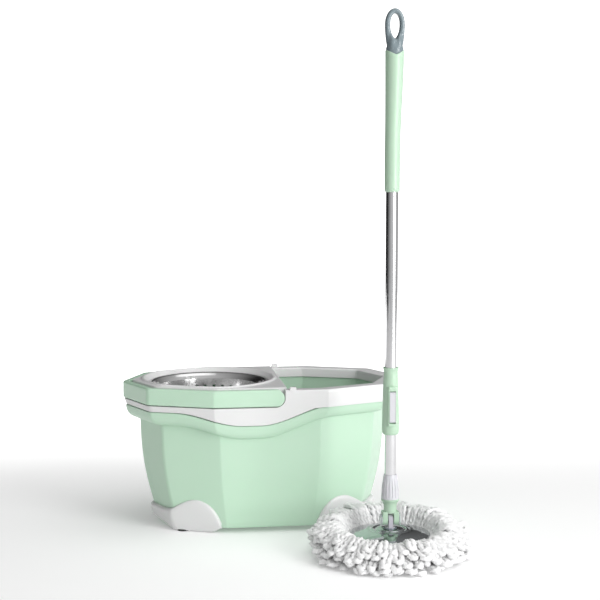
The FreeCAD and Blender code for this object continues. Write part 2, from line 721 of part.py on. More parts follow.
# ---- write every piece ----
BUCKET_PIECES = {
    "bucket_shell": bucket_shell,
    "rim_collar": rim_collar,
    "carry_handle": carry_handle,
    "basket_deck": basket_deck,
    "spindle_post": spindle_post,
    "spindle_pin": spindle_pin,
    "post_screws": post_screws,
    "basket_wall": basket_wall,
    "basket_hub": basket_hub,
    "hub_screws": hub_screws,
}
MOP_PIECES = {
    "mop_plate": mop_plate,
    "plate_base": plate_base,
    "plate_hub": plate_hub,
    "hub_bolt": hub_bolt,
    "yarn_ring": yarn_ring,
    "yarn_fringe": yarn_fringe,
    "neck_yoke": neck_yoke,
    "pin_caps": pin_caps,
    "neck_cap": neck_cap,
    "lower_tube": lower_tube,
    "drive_nut": drive_nut,
    "guide_bush": guide_bush,
    "spiral_rod": spiral_rod,
    "rod_plug": rod_plug,
    "upper_tube": upper_tube,
    "lock_sleeve": lock_sleeve,
    "lever_pin": lever_pin,
    "lock_lever": lock_lever,
    "grip": grip,
    "hanger": hanger,
}

os.makedirs("parts", exist_ok=True)
for node, make in BUCKET_PIECES.items():
    save(node, make(), BUCKET_AT)
for node, make in MOP_PIECES.items():
    save(node, make(), MOP_AT)
save_feet()
save("thrust_washer", pipe(10, PIN_RADIUS + FIT, POST_TOP_Z, POST_TOP_Z + 2, BASKET_X), BUCKET_AT)
save("spindle_bush", pipe(8, PIN_RADIUS + FIT, POST_TOP_Z + 2.3, 176, BASKET_X), BUCKET_AT)
save("yoke_pin", crossbar(3, -13, 13, 0, NECK_PIN_Z), MOP_AT)
save("rod_rivet", rivet(1.5), MOP_AT)
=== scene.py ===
"""The looks of a spin mop and its wringer bucket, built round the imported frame. Lengths are metres.

Each sub-assembly is a class with its sizes as fields; each finish is a small frozen class.
The bucket's shapes are worked out in its own frame: origin on the floor under its middle.
"""

import logging
import math
import random
from collections.abc import Callable, Sequence
from dataclasses import dataclass, field
from enum import Enum

import bmesh
import bpy
from mathutils import Matrix, Vector, noise


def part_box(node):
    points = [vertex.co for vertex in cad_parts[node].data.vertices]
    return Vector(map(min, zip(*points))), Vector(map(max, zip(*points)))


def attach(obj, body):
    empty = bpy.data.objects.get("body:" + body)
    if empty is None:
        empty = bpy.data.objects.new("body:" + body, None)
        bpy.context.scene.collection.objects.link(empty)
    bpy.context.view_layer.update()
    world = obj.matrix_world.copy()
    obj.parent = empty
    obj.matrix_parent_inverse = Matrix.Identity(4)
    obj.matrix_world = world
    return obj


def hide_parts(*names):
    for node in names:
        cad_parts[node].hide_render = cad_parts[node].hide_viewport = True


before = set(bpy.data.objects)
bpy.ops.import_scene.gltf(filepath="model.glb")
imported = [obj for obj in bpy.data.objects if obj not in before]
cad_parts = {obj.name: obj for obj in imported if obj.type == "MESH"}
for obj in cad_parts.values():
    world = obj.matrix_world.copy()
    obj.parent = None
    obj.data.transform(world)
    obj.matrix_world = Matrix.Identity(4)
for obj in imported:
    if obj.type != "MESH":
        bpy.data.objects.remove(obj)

LOG = logging.getLogger("spin_mop")
Shape = bmesh.types.BMesh
Thing = bpy.types.Object
MERGE = 1e-6


class Slot(Enum):
    """The record's material slots."""

    MINT = "mint_plastic"
    WHITE = "white_plastic"
    GREY = "grey_plastic"
    CLEAR = "clear_plastic"
    NYLON = "nylon"
    BRIGHT = "bright_steel"
    BASKET = "basket_steel"
    PLAIN = "plain_steel"
    RUBBER = "pad_rubber"
    YARN = "yarn"


class Region(Enum):
    """The three cross sections of the collar, round its length."""

    POCKET = 0
    SEAT = 1
    OPEN = 2


def smoothstep(t: float) -> float:
    """Eases from 0 to 1 with level ends; t is clamped to that range."""
    t = min(1.0, max(0.0, t))
    return t * t * (3.0 - 2.0 * t)


def mix(a: float, b: float, share: float) -> float:
    """The value a share of the way from a to b."""
    return a + (b - a) * share


# ---------------------------------------------------------------- finishes


class NodeBench:
    """A new material's node tree, with short calls to add and join nodes."""

    def __init__(self, name: str) -> None:
        """Starts a material of that name with its shader and Object coordinates.

        Args:
            name: the material's name.
        """
        self.made = bpy.data.materials.new(name)
        self.made.use_nodes = True
        self.tree = self.made.node_tree
        self.shader = self.tree.nodes["Principled BSDF"]
        self.place = self.tree.nodes.new("ShaderNodeTexCoord").outputs["Object"]

    def add(self, kind: str, **inputs: object) -> bpy.types.Node:
        """Adds a node and sets or joins its inputs.

        Args:
            kind: the node's type, without its ShaderNode start.
            inputs: values or output sockets by input name, with _ for a space.

        Returns:
            The new node.
        """
        node = self.tree.nodes.new("ShaderNode" + kind)
        for name, value in inputs.items():
            self.feed(node, name.replace("_", " "), value)
        return node

    def feed(self, node: bpy.types.Node, name: str, value: object) -> None:
        """Joins an output socket to a node's input, or sets the input's value."""
        if isinstance(value, bpy.types.NodeSocket):
            self.tree.links.new(value, node.inputs[name])
        else:
            node.inputs[name].default_value = value

    def surface(self, **inputs: object) -> None:
        """Sets or joins the shader's inputs, by name with _ for a space."""
        for name, value in inputs.items():
            self.feed(self.shader, name.replace("_", " "), value)

    def speckle(self, scale: float, detail: float = 3.0, roughness: float = 0.5) -> bpy.types.NodeSocket:
        """Noise over the piece.

        Args:
            scale: features per metre.
            detail: octaves of finer noise.
            roughness: how strong the finer octaves are.

        Returns:
            The noise's value socket.
        """
        return self.add("TexNoise", Vector=self.place, Scale=scale, Detail=detail,
                        Roughness=roughness).outputs["Fac"]

    def ranged(self, value: bpy.types.NodeSocket, low: float, high: float) -> bpy.types.NodeSocket:
        """Spreads a value that runs mostly from 0.3 to 0.7 over low to high."""
        node = self.add("MapRange", Value=value, From_Min=0.3, From_Max=0.7, To_Min=low, To_Max=high)
        return node.outputs["Result"]

    def blended(self, share: bpy.types.NodeSocket, one: Sequence[float],
                other: Sequence[float]) -> bpy.types.NodeSocket:
        """A colour between two, by a socket's value.

        Args:
            share: 0 gives one, 1 gives the other.
            one: first colour, linear RGB.
            other: second colour, linear RGB.

        Returns:
            The mixed colour's socket.
        """
        node = self.tree.nodes.new("ShaderNodeMix")
        node.data_type = "RGBA"
        self.tree.links.new(share, node.inputs["Factor"])
        node.inputs["A"].default_value = (*one, 1.0)
        node.inputs["B"].default_value = (*other, 1.0)
        return node.outputs["Result"]

    def bump(self, height: bpy.types.NodeSocket, depth: float, strength: float = 1.0,
             under: bpy.types.NodeSocket | None = None) -> bpy.types.NodeSocket:
        """A bumped normal.

        Args:
            height: the relief's socket, from 0 to 1.
            depth: the relief's depth in metres.
            strength: the share of the bump that is used.
            under: a normal to lay this one over.

        Returns:
            The bumped normal's socket.
        """
        node = self.add("Bump", Height=height, Distance=depth, Strength=strength)
        if under is not None:
            self.tree.links.new(under, node.inputs["Normal"])
        return node.outputs["Normal"]


@dataclass(frozen=True)
class Finish:
    """What every finish has: a name, a slot and a material that is built once."""

    name: str
    slot: Slot
    made: dict[str, bpy.types.Material] = field(default_factory=dict, compare=False, kw_only=True)

    def material(self) -> bpy.types.Material:
        """Builds the material once and gives it each time."""
        if self.name not in self.made:
            self.made[self.name] = self.build()
        return self.made[self.name]

    def build(self) -> bpy.types.Material:
        """Makes the node tree; each kind of finish has its own."""
        raise NotImplementedError


@dataclass(frozen=True)
class MouldedPlastic(Finish):
    """Injection moulded plastic: a fine mould grain, faint flow marks and a soft gloss."""

    colour: tuple[float, float, float]
    pale: tuple[float, float, float]
    gloss: tuple[float, float] = (0.30, 0.40)
    through: float = 0.0
    milky: float = 0.0
    grain: float = 1500.0
    grain_depth: float = 0.00003

    def build(self) -> bpy.types.Material:
        """Makes the node tree.

        Returns:
            The new material.
        """
        bench = NodeBench(self.name)
        flow = bench.speckle(9.0, 3.0)
        bench.surface(Base_Color=bench.blended(flow, self.colour, self.pale),
                      Roughness=bench.ranged(bench.speckle(60.0, 5.0), *self.gloss))
        grain = bench.bump(bench.speckle(self.grain, 2.0), self.grain_depth, 0.35)
        wave = bench.bump(bench.speckle(22.0, 1.0), 0.0004, 0.12, grain)
        bench.surface(Normal=wave, IOR=1.49, Coat_Weight=0.12, Coat_Roughness=0.12)
        if self.through:
            bench.surface(Subsurface_Weight=self.through, Subsurface_Radius=(0.6, 1.0, 0.7), Subsurface_Scale=0.004)
        if self.milky:
            bench.surface(Transmission_Weight=self.milky)
        return bench.made


@dataclass(frozen=True)
class Steel(Finish):
    """Bare steel with faint polishing lines and smears."""

    colour: tuple[float, float, float]
    gloss: tuple[float, float]
    lines: tuple[float, float, float] = (500.0, 500.0, 8.0)
    line_depth: float = 0.00001

    def build(self) -> bpy.types.Material:
        """Makes the node tree.

        Returns:
            The new material.
        """
        bench = NodeBench(self.name)
        stretched = bench.add("Mapping", Vector=bench.place, Scale=self.lines)
        lines = bench.add("TexNoise", Vector=stretched.outputs["Vector"], Scale=1.0, Detail=3.0).outputs["Fac"]
        smear = bench.speckle(35.0, 4.0)
        dark = tuple(0.86 * part for part in self.colour)
        bench.surface(Base_Color=bench.blended(smear, dark, self.colour),
                      Roughness=bench.ranged(bench.speckle(120.0, 4.0), *self.gloss),
                      Normal=bench.bump(lines, self.line_depth, 0.3), Metallic=1.0)
        return bench.made


@dataclass(frozen=True)
class Rubber(Finish):
    """Matt moulded rubber."""

    name: str = "pad_rubber"
    slot: Slot = Slot.RUBBER

    def build(self) -> bpy.types.Material:
        """Makes the node tree.

        Returns:
            The new material.
        """
        bench = NodeBench(self.name)
        dust = bench.speckle(90.0, 6.0)
        bench.surface(Base_Color=bench.blended(dust, (0.012, 0.012, 0.013), (0.05, 0.05, 0.052)),
                      Roughness=bench.ranged(dust, 0.6, 0.85),
                      Normal=bench.bump(bench.speckle(900.0, 3.0), 0.0001, 0.5))
        return bench.made


@dataclass(frozen=True)
class Yarn(Finish):
    """Washed microfibre yarn: soft, fuzzy and a little uneven in colour."""

    name: str = "white_yarn"
    slot: Slot = Slot.YARN

    def build(self) -> bpy.types.Material:
        """Makes the node tree.

        Returns:
            The new material.
        """
        bench = NodeBench(self.name)
        tint = bench.speckle(70.0, 4.0)
        bench.surface(Base_Color=bench.blended(tint, (0.93, 0.93, 0.93), (0.97, 0.97, 0.97)),
                      Roughness=bench.ranged(tint, 0.8, 0.95))
        fuzz = bench.bump(bench.speckle(2600.0, 4.0, 0.7), 0.0012, 0.7)
        bench.surface(Normal=bench.bump(bench.speckle(700.0, 2.0), 0.0016, 0.5, fuzz),
                      Sheen_Weight=0.5, Sheen_Roughness=0.6,
                      Subsurface_Weight=0.5, Subsurface_Radius=(1.0, 1.0, 1.0), Subsurface_Scale=0.006)
        return bench.made


MINT = MouldedPlastic("mint_plastic", Slot.MINT, (0.49, 0.69, 0.53), (0.52, 0.71, 0.56), through=0.15)
PALE_MINT = MouldedPlastic("pale_mint_plastic", Slot.MINT, (0.43, 0.60, 0.45), (0.46, 0.62, 0.48), through=0.15)
WHITE = MouldedPlastic("white_plastic", Slot.WHITE, (0.70, 0.70, 0.70), (0.74, 0.74, 0.74), through=0.1)
PALE_GREY = MouldedPlastic("pale_grey_plastic", Slot.WHITE, (0.56, 0.56, 0.59), (0.60, 0.60, 0.63), through=0.1)
LILAC_GREY = MouldedPlastic("lilac_grey_plastic", Slot.GREY, (0.44, 0.43, 0.48), (0.50, 0.49, 0.54), (0.16, 0.24))
GREY = MouldedPlastic("grey_plastic", Slot.GREY, (0.16, 0.20, 0.22), (0.20, 0.25, 0.27), (0.16, 0.24))
CLEAR = MouldedPlastic("clear_plastic", Slot.CLEAR, (0.78, 0.84, 0.84), (0.82, 0.88, 0.88), (0.12, 0.2), milky=0.6)
NYLON = MouldedPlastic("nylon", Slot.NYLON, (0.70, 0.68, 0.62), (0.76, 0.74, 0.68), (0.45, 0.6))
TUBE_STEEL = Steel("bright_steel", Slot.BRIGHT, (0.78, 0.78, 0.79), (0.06, 0.13))
DISC_STEEL = Steel("disc_steel", Slot.BRIGHT, (0.40, 0.42, 0.43), (0.07, 0.16), (300.0, 300.0, 300.0))
BASKET_STEEL = Steel("basket_steel", Slot.BASKET, (0.60, 0.60, 0.60), (0.10, 0.20), (30.0, 30.0, 600.0))
PLAIN_STEEL = Steel("plain_steel", Slot.PLAIN, (0.52, 0.52, 0.53), (0.25, 0.38), (200.0, 200.0, 200.0))
PAD_RUBBER = Rubber()
WHITE_YARN = Yarn()


# ---------------------------------------------------------------- shaping helpers


def new_thing(name: str, shape: Shape) -> Thing:
    """Turns a bmesh into a linked object at the origin, and frees it.

    Args:
        name: the piece's name.
        shape: the finished bmesh.

    Returns:
        The new object.
    """
    mesh = bpy.data.meshes.new(name)
    shape.to_mesh(mesh)
    shape.free()
    thing = bpy.data.objects.new(name, mesh)
    bpy.context.scene.collection.objects.link(thing)
    return thing


def rounded_edges(thing: Thing, width: float, segments: int = 3, angle: float = 40.0) -> Thing:
    """Rounds the sharp edges of a hard piece and keeps its flats flat.

    Args:
        thing: the piece.
        width: the rounding's width.
        segments: faces across the rounding.
        angle: the smallest edge angle that is rounded, in degrees.

    Returns:
        The same piece.
    """
    bevel = thing.modifiers.new("round", "BEVEL")
    bevel.width = width
    bevel.segments = segments
    bevel.limit_method = "ANGLE"
    bevel.angle_limit = math.radians(angle)
    bevel.use_clamp_overlap = True
    flat = thing.modifiers.new("flat", "WEIGHTED_NORMAL")
    flat.keep_sharp = True
    return thing


def mounted(thing: Thing, body: str, finish: Finish, *nodes: str, sharp: float = 50.0) -> Thing:
    """Smooths a piece, gives it its finish and rides it on its body.

    Args:
        thing: the piece.
        body: the body that it rides on.
        finish: its finish.
        nodes: the nodes of the frame that it stands for.
        sharp: edges over this angle, in degrees, stay sharp.

    Returns:
        The same piece.
    """
    thing.data.shade_smooth()
    thing.data.set_sharp_from_angle(angle=math.radians(sharp))
    thing.data.materials.clear()
    thing.data.materials.append(finish.material())
    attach(thing, body)
    if nodes:
        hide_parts(*nodes)
    LOG.info("%s: %d faces on %s, in %s", thing.name, len(thing.data.polygons), body, finish.name)
    return thing


def dressed(finish: Finish, *nodes: str) -> None:
    """Gives the frame's own nodes a finish.

    Args:
        finish: the finish.
        nodes: names of nodes that stay in sight.
    """
    for node in nodes:
        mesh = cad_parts[node].data
        mesh.materials.clear()
        mesh.materials.append(finish.material())
        LOG.info("%s: %d faces of the frame, in %s", node, len(mesh.polygons), finish.name)


def add_loop(shape: Shape, points: Sequence[Vector], closed: bool = True) -> list[bmesh.types.BMEdge]:
    """Adds a loop or a chain of edges.

    Args:
        shape: the bmesh.
        points: the corners in order.
        closed: whether the last point joins the first.

    Returns:
        The new edges in order.
    """
    verts = [shape.verts.new(point) for point in points]
    ends = verts[1:] + verts[:1] if closed else verts[1:]
    return [shape.edges.new(pair) for pair in zip(verts, ends)]


def loft(shape: Shape, rings: Sequence[Sequence[Vector]], joined: bool = False) -> list[list[bmesh.types.BMEdge]]:
    """Draws a closed ring of edges out through the rings that follow it.

    Args:
        shape: the bmesh that gets the skin.
        rings: the rings, with as many points each.
        joined: whether the last ring goes on to the first, which tidied() then welds.

    Returns:
        The first ring's edges and the last one's.
    """
    edges = first = add_loop(shape, rings[0])
    verts = [edge.verts[0] for edge in edges]
    for ring in list(rings[1:]) + ([rings[0]] if joined else []):
        made = set(bmesh.ops.extrude_edge_only(shape, edges=edges)["geom"])
        drawn = []
        for vert, point in zip(verts, ring):
            partner = next(edge.other_vert(vert) for edge in vert.link_edges if edge.other_vert(vert) in made)
            partner.co = point
            drawn.append(partner)
        verts = drawn
        edges = [shape.edges.get(pair) for pair in zip(verts, verts[1:] + verts[:1])]
    return [first, edges]


def tidied(shape: Shape) -> Shape:
    """Merges doubles and turns every face outwards."""
    bmesh.ops.remove_doubles(shape, verts=shape.verts, dist=MERGE)
    bmesh.ops.recalc_face_normals(shape, faces=shape.faces)
    return shape


def turned(shape: Shape, profile: Sequence[tuple[float, float]], centre: Vector, steps: int = 96,
           closed: bool = True) -> None:
    """Spins a profile of (radius, height) round an upright axis.

    Args:
        shape: the bmesh that gets the surface.
        profile: the outline's points in order.
        centre: a point on the axis; heights are measured from it.
        steps: faces round the axis.
        closed: whether the outline closes on itself.
    """
    points = [centre + Vector((radius, 0.0, height)) for radius, height in profile]
    edges = add_loop(shape, points, closed)
    verts = list({vert for edge in edges for vert in edge.verts})
    bmesh.ops.spin(shape, geom=verts + edges, cent=centre, axis=(0.0, 0.0, 1.0), angle=math.tau,
                   steps=steps, use_merge=True)


def softened(node: str, body: str, finish: Finish, width: float, segments: int = 3, angle: float = 35.0) -> Thing:
    """A copy of one of the frame's nodes with its hard edges rounded.

    Args:
        node: the node, which the copy stands for.
        body: the body that it rides on.
        finish: its finish.
        width: the rounding's width.
        segments: faces across the rounding.
        angle: the smallest edge angle that is rounded, in degrees.

    Returns:
        The new piece.
    """
    shape = bmesh.new()
    shape.from_mesh(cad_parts[node].data)
    bmesh.ops.remove_doubles(shape, verts=shape.verts, dist=MERGE)
    bmesh.ops.dissolve_limit(shape, angle_limit=math.radians(0.5), verts=shape.verts, edges=shape.edges)
    thing = new_thing(node + "_soft", shape)
    rounded_edges(thing, width, segments, angle)
    return mounted(thing, body, finish, node)


# ---------------------------------------------------------------- the bucket's plan


@dataclass(frozen=True)
class Station:
    """A place on the bucket's ten-sided outline.

    Fields:
        corner: the corner that it is on, or that its side starts from, anticlockwise from the +X end.
        share: how far round the rounded corner, or along the side, it is.
        rounded: whether it is on the corner.
        x: a set place along a long side, which takes the share's place.
    """

    corner: int
    share: float = 0.0
    rounded: bool = False
    x: float | None = None


@dataclass
class Outline:
    """The ten-sided plan with rounded corners, for any half length and half width."""

    corners: tuple[tuple[float, float], ...] = (
        (1.0, 0.0), (0.84, 0.67), (0.395, 1.0), (-0.395, 1.0), (-0.84, 0.67),
        (-1.0, 0.0), (-0.84, -0.67), (-0.395, -1.0), (0.395, -1.0), (0.84, -0.67))
    radius: float = 0.013
    arc_steps: int = 5
    side_steps: tuple[int, ...] = (12, 15, 26, 15, 12)

    def corner(self, index: int, half_length: float, half_width: float) -> Vector:
        """A sharp corner of the plan."""
        x, y = self.corners[index % len(self.corners)]
        return Vector((x * half_length, y * half_width))

    def on_corner(self, index: int, share: float, half_length: float, half_width: float) -> Vector:
        """A point on a rounded corner.

        Args:
            index: which corner.
            share: 0 at its start, 1 at its end.
            half_length: of the sharp plan.
            half_width: of the sharp plan.

        Returns:
            The point.
        """
        here = self.corner(index, half_length, half_width)
        into = here - self.corner(index - 1, half_length, half_width)
        out = self.corner(index + 1, half_length, half_width) - here
        first = math.atan2(into.y, into.x)
        turn = (math.atan2(out.y, out.x) - first) % math.tau
        start = here - into.normalized() * (self.radius * math.tan(turn / 2.0))
        centre = start + Vector((-math.sin(first), math.cos(first))) * self.radius
        angle = first - math.pi / 2.0 + turn * share
        return centre + Vector((math.cos(angle), math.sin(angle))) * self.radius

    def at(self, station: Station, half_length: float, half_width: float) -> Vector:
        """The point of a station on an outline of that size.

        Args:
            station: the place.
            half_length: of the sharp plan.
            half_width: of the sharp plan.

        Returns:
            The point.
        """
        if station.rounded:
            return self.on_corner(station.corner, station.share, half_length, half_width)
        start = self.on_corner(station.corner, 1.0, half_length, half_width)
        if station.x is not None:
            return Vector((station.x, start.y))
        end = self.on_corner(station.corner + 1, 0.0, half_length, half_width)
        return start.lerp(end, station.share)

    def rounding(self, index: int) -> list[Station]:
        """The stations on one corner."""
        return [Station(index, step / self.arc_steps, True) for step in range(self.arc_steps + 1)]

    def side(self, index: int) -> list[Station]:
        """The stations along one side, without its ends."""
        count = self.side_steps[index % len(self.side_steps)]
        return [Station(index, step / count) for step in range(1, count)]

    def all_round(self) -> list[Station]:
        """Every station, anticlockwise from the +X corner."""
        return [s for i in range(len(self.corners)) for s in self.rounding(i) + self.side(i)]

    def ends(self, first: int, last: int) -> list[Station]:
        """The stations from the start of one corner to the end of another, past the sides between."""
        found = self.rounding(first)
        for index in range(first, last):
            found += self.side(index) + self.rounding(index + 1)
        return found


OUTLINE = Outline()
FAR_SIDE = 2
NEAR_SIDE = 7


@dataclass
class Pivot:
    """The round ends of the carry handle and of the collar's pocket, about the handle's pivot."""

    x: float = 0.008
    z: float = 0.2415
    handle_radius: float = 0.0145
    pocket_radius: float = 0.016

    def handle_end(self, z: float) -> float:
        """How far the handle reaches at a height."""
        return self.x + math.sqrt(max(0.0, self.handle_radius ** 2 - (z - self.z) ** 2))

    def pocket_end(self, z: float) -> float:
        """How far the pocket reaches at a height; above the pivot its end is upright."""
        if z >= self.z:
            return self.x + self.pocket_radius
        return self.x + math.sqrt(max(0.0, self.pocket_radius ** 2 - (z - self.z) ** 2))


PIVOT = Pivot()


def pocket_places() -> list[Station]:
    """Stations along the far side's pocket, from just left of its curved end."""
    return [Station(FAR_SIDE, x=-0.010 - 0.007 * i) for i in range(11)]


def bucket_centre() -> Vector:
    """The floor point under the middle of the bucket."""
    low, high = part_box("bucket_shell")
    return Vector(((low.x + high.x) / 2.0, (low.y + high.y) / 2.0, 0.0))


def collar_edge(x: float) -> float:
    """The height of the collar's wavy lower edge."""
    return 0.215 - 0.0205 * smoothstep((x + 0.160) / 0.112) + 0.0345 * smoothstep((x + 0.018) / 0.130)


# ---------------------------------------------------------------- the bucket


@dataclass
class Tub:
    """The mint tub: a tulip body that flows into a rounded shoulder under the collar."""

    base_z: float = 0.0085
    belly_z: float = 0.180
    belly_length: float = 0.220
    belly_width: float = 0.120
    tuck: float = 0.032
    wall: float = 0.003
    floor_z: float = 0.0125
    top_z: float = 0.245
    flare: float = 0.006
    shoulder_drop: float = 0.0236
    shoulder: tuple[tuple[float, float], ...] = (
        (0.0035, -0.0006), (0.0075, -0.0002), (0.0125, 0.0016), (0.0170, 0.0048), (0.0200, 0.0088),
        (0.0218, 0.0132), (0.0226, 0.0180), (0.0224, 0.0218), (0.0205, 0.0230), (0.0080, 0.0230))
    side_share: float = 0.56
    nominal: tuple[float, float] = (0.235, 0.128)

    def half_length(self, z: float) -> float:
        """The body's half length at a height."""
        if z > self.belly_z:
            return self.belly_length + self.flare * (z - self.belly_z) / (self.top_z - self.belly_z)
        short = 1.0 - max(0.0, z - self.base_z) / (self.belly_z - self.base_z)
        return self.belly_length - self.tuck * short ** 2

    def half_width(self, z: float) -> float:
        """The body's half width at a height."""
        if z > self.belly_z:
            return self.belly_width + 0.0008 * (z - self.belly_z) / (self.top_z - self.belly_z)
        return self.half_length(z) * self.belly_width / self.belly_length

    def level(self, height: Callable[[float], float], out: float = 0.0, across: float = 1.0) -> list[Vector]:
        """A ring round the tub.

        Args:
            height: the ring's height at a place along the bucket.
            out: how far it stands out of the body's surface at the ends.
            across: the share of that at the long sides.

        Returns:
            The ring's points.
        """
        centre = bucket_centre()
        points = []
        for station in OUTLINE.all_round():
            z = height(OUTLINE.at(station, *self.nominal).x)
            flat = OUTLINE.at(station, self.half_length(z) + out, self.half_width(z) + out * across)
            points.append(centre + Vector((flat.x, flat.y, z)))
        return points

    def crease(self, x: float) -> float:
        """The height where the body meets the shoulder."""
        return collar_edge(x) - self.shoulder_drop

    def outside(self) -> list[list[Vector]]:
        """The rings of the outer surface, from the underside up to the rim."""
        rings = [self.level(lambda x: self.base_z, -0.0045), self.level(lambda x: self.base_z + 0.0010, -0.0014),
                 self.level(lambda x: self.base_z + 0.0036)]
        low = self.base_z + 0.0036
        for step in range(1, 19):
            rings.append(self.level(lambda x, share=step / 18.0: mix(low, self.crease(x), share)))
        for out, rise in self.shoulder:
            rings.append(self.level(lambda x, rise=rise: self.crease(x) + rise, out, self.side_share))
        for share in (0.0, 0.3, 0.7, 1.0):
            rings.append(self.level(
                lambda x, share=share: mix(collar_edge(x) + 0.001, self.top_z, share), -0.0002))
        return rings

    def inside(self) -> list[list[Vector]]:
        """The rings of the inner surface, from the rim down to the floor."""
        rings = [self.level(lambda x: self.top_z, -self.wall)]
        for step in range(1, 23):
            rings.append(self.level(lambda x, share=step / 23.0: mix(self.top_z, self.floor_z, share), -self.wall))
        for drop, inset in ((0.0045, 0.0004), (0.0020, 0.0016), (0.0005, 0.0040), (0.0, 0.0072)):
            rings.append(self.level(lambda x, drop=drop: self.floor_z + drop, -self.wall - inset))
        return rings

    def build(self) -> Thing:
        """Makes the tub.

        Returns:
            The piece.
        """
        shape = bmesh.new()
        loops = loft(shape, self.outside() + self.inside())
        bmesh.ops.contextual_create(shape, geom=loops[0])
        bmesh.ops.contextual_create(shape, geom=loops[-1])
        thing = new_thing("tub", tidied(shape))
        thing.modifiers.new("flat", "WEIGHTED_NORMAL").keep_sharp = True
        return mounted(thing, "bucket", MINT, "bucket_shell")


@dataclass
class Collar:
    """The white collar: a wavy skirt, a pocket for the folded handle and a seat for the deck.

    A section is a list of (half length, half width, height) that follows the skirt's own points.
    """

    skirt_low: tuple[float, float] = (0.2450, 0.1345)
    skirt_high: tuple[float, float] = (0.2478, 0.1359)
    skirt_edge: tuple[tuple[float, float], ...] = ((0.2420, 0.1315), (0.2442, 0.1338))
    skirt_top_z: float = 0.2243
    edge_gap: float = 0.0002
    edge_round: float = 0.0009
    ledge_z: float = 0.2255
    top_z: float = 0.255
    seat_z: float = 0.249
    seat_x: float = 0.029
    tab_from: float = 0.031
    tab_to: float = 0.043
    tab_rise: float = 0.005
    tab_ramp: float = 0.0012
    tab_shares: tuple[float, ...] = (-0.06, 0.0, 0.035, 0.07, 0.1, 0.3, 0.5, 0.7, 0.9, 0.93, 0.965, 1.0, 1.06)
    first_x: float = 0.0460
    last_x: float = 0.080
    spacing: float = 0.0068
    pocket: tuple[tuple[float, float, float], ...] = (
        (0.2472, 0.1354, 0.2253), (0.2462, 0.1346, 0.2255), (0.2350, 0.1253, 0.2255), (0.2338, 0.1242, 0.2260),
        (0.2335, 0.1240, 0.2272), (0.2335, 0.1240, 0.2340), (0.2335, 0.1240, 0.2415), (0.2335, 0.1240, 0.2450),
        (0.2335, 0.1240, 0.2484), (0.2329, 0.1235, 0.2490), (0.2310, 0.1216, 0.2490), (0.2280, 0.1195, 0.2490),
        (0.2225, 0.1170, 0.2490), (0.2202, 0.1150, 0.2486), (0.2190, 0.1140, 0.2475), (0.2190, 0.1140, 0.2385),
        (0.2195, 0.1145, 0.2380), (0.2220, 0.1170, 0.2380), (0.2220, 0.1170, 0.2460), (0.2305, 0.1212, 0.2460),
        (0.2305, 0.1212, 0.2360), (0.2305, 0.1212, 0.2230), (0.2435, 0.1325, 0.2226))
    open: tuple[tuple[float, float, float], ...] = (
        (0.2479, 0.1359, 0.2253), (0.2480, 0.1360, 0.2263), (0.2482, 0.1361, 0.2280), (0.2484, 0.1362, 0.2310),
        (0.2487, 0.1363, 0.2350), (0.2490, 0.1364, 0.2400), (0.2494, 0.1366, 0.2460), (0.2496, 0.1368, 0.2510),
        (0.2490, 0.1363, 0.2537), (0.2476, 0.1352, 0.2550), (0.2405, 0.1306, 0.2550), (0.2399, 0.1300, 0.2550),
        (0.2225, 0.1170, 0.2550), (0.2202, 0.1150, 0.2543), (0.2190, 0.1140, 0.2525), (0.2190, 0.1140, 0.2385),
        (0.2195, 0.1145, 0.2380), (0.2220, 0.1170, 0.2380), (0.2220, 0.1170, 0.2520), (0.2310, 0.1217, 0.2520),
        (0.2460, 0.1334, 0.2520), (0.2449, 0.1332, 0.2360), (0.2443, 0.1328, 0.2226))
    raised: tuple[int, ...] = (8, 9, 10)

    def seat(self) -> list[tuple[float, float, float]]:
        """The section between the pocket's end and the deck's edge."""
        outer, inner = list(self.open[:10]), list(self.pocket[12:20])
        step = [(0.2344, 0.1248, self.top_z), (0.2338, 0.1243, self.seat_z)]
        return outer + step + inner + list(self.open[20:])

    def section(self, region: Region) -> list[tuple[float, float, float]]:
        """The section's points above the skirt, for a region."""
        if region is Region.SEAT:
            return self.seat()
        return list(self.pocket if region is Region.POCKET else self.open)

    def tab(self, x: float) -> float:
        """How far the little stop tab lifts the rim at a place along a long side."""
        inside = min(x - self.tab_from, self.tab_to - x)
        return self.tab_rise * smoothstep(inside / self.tab_ramp)

    def stations(self) -> list[tuple[Station, Region, float | None]]:
        """The places round the collar, with the section there.

        A number beside a station is its share of the way from the first x that follows the
        pocket's curved end to that end, or past it to the deck's edge.

        Returns:
            Rows of station, region and share.
        """
        count = int((self.last_x - self.first_x) / self.spacing)
        rows = [(Station(FAR_SIDE, x=self.last_x - self.spacing * i), Region.OPEN, None) for i in range(count + 1)]
        span = self.tab_to - self.tab_from
        for share in self.tab_shares:
            rows.append((Station(FAR_SIDE, x=self.tab_to - span * share), Region.OPEN, None))
        rows.append((Station(FAR_SIDE, x=self.seat_x), Region.OPEN, None))
        rows += [(Station(FAR_SIDE, x=self.seat_x), Region.SEAT, share) for share in (1.0, 0.5, 0.0)]
        first, *others = pocket_places()
        rows += [(first, Region.POCKET, share) for share in (1.0, 0.95, 0.85, 0.65, 0.4, 0.2, 0.0)]
        rows += [(station, Region.POCKET, None) for station in others]
        mirrored = [(Station(NEAR_SIDE, x=s.x), region, share) for s, region, share in reversed(rows)]
        start = [(s, Region.OPEN, None) for s in OUTLINE.ends(0, FAR_SIDE)]
        left = [(s, Region.POCKET, None) for s in OUTLINE.ends(FAR_SIDE + 1, NEAR_SIDE)]
        back = [(s, Region.OPEN, None) for s in OUTLINE.ends(NEAR_SIDE + 1, 9) + OUTLINE.side(9)]
        return start + rows + left + mirrored + back

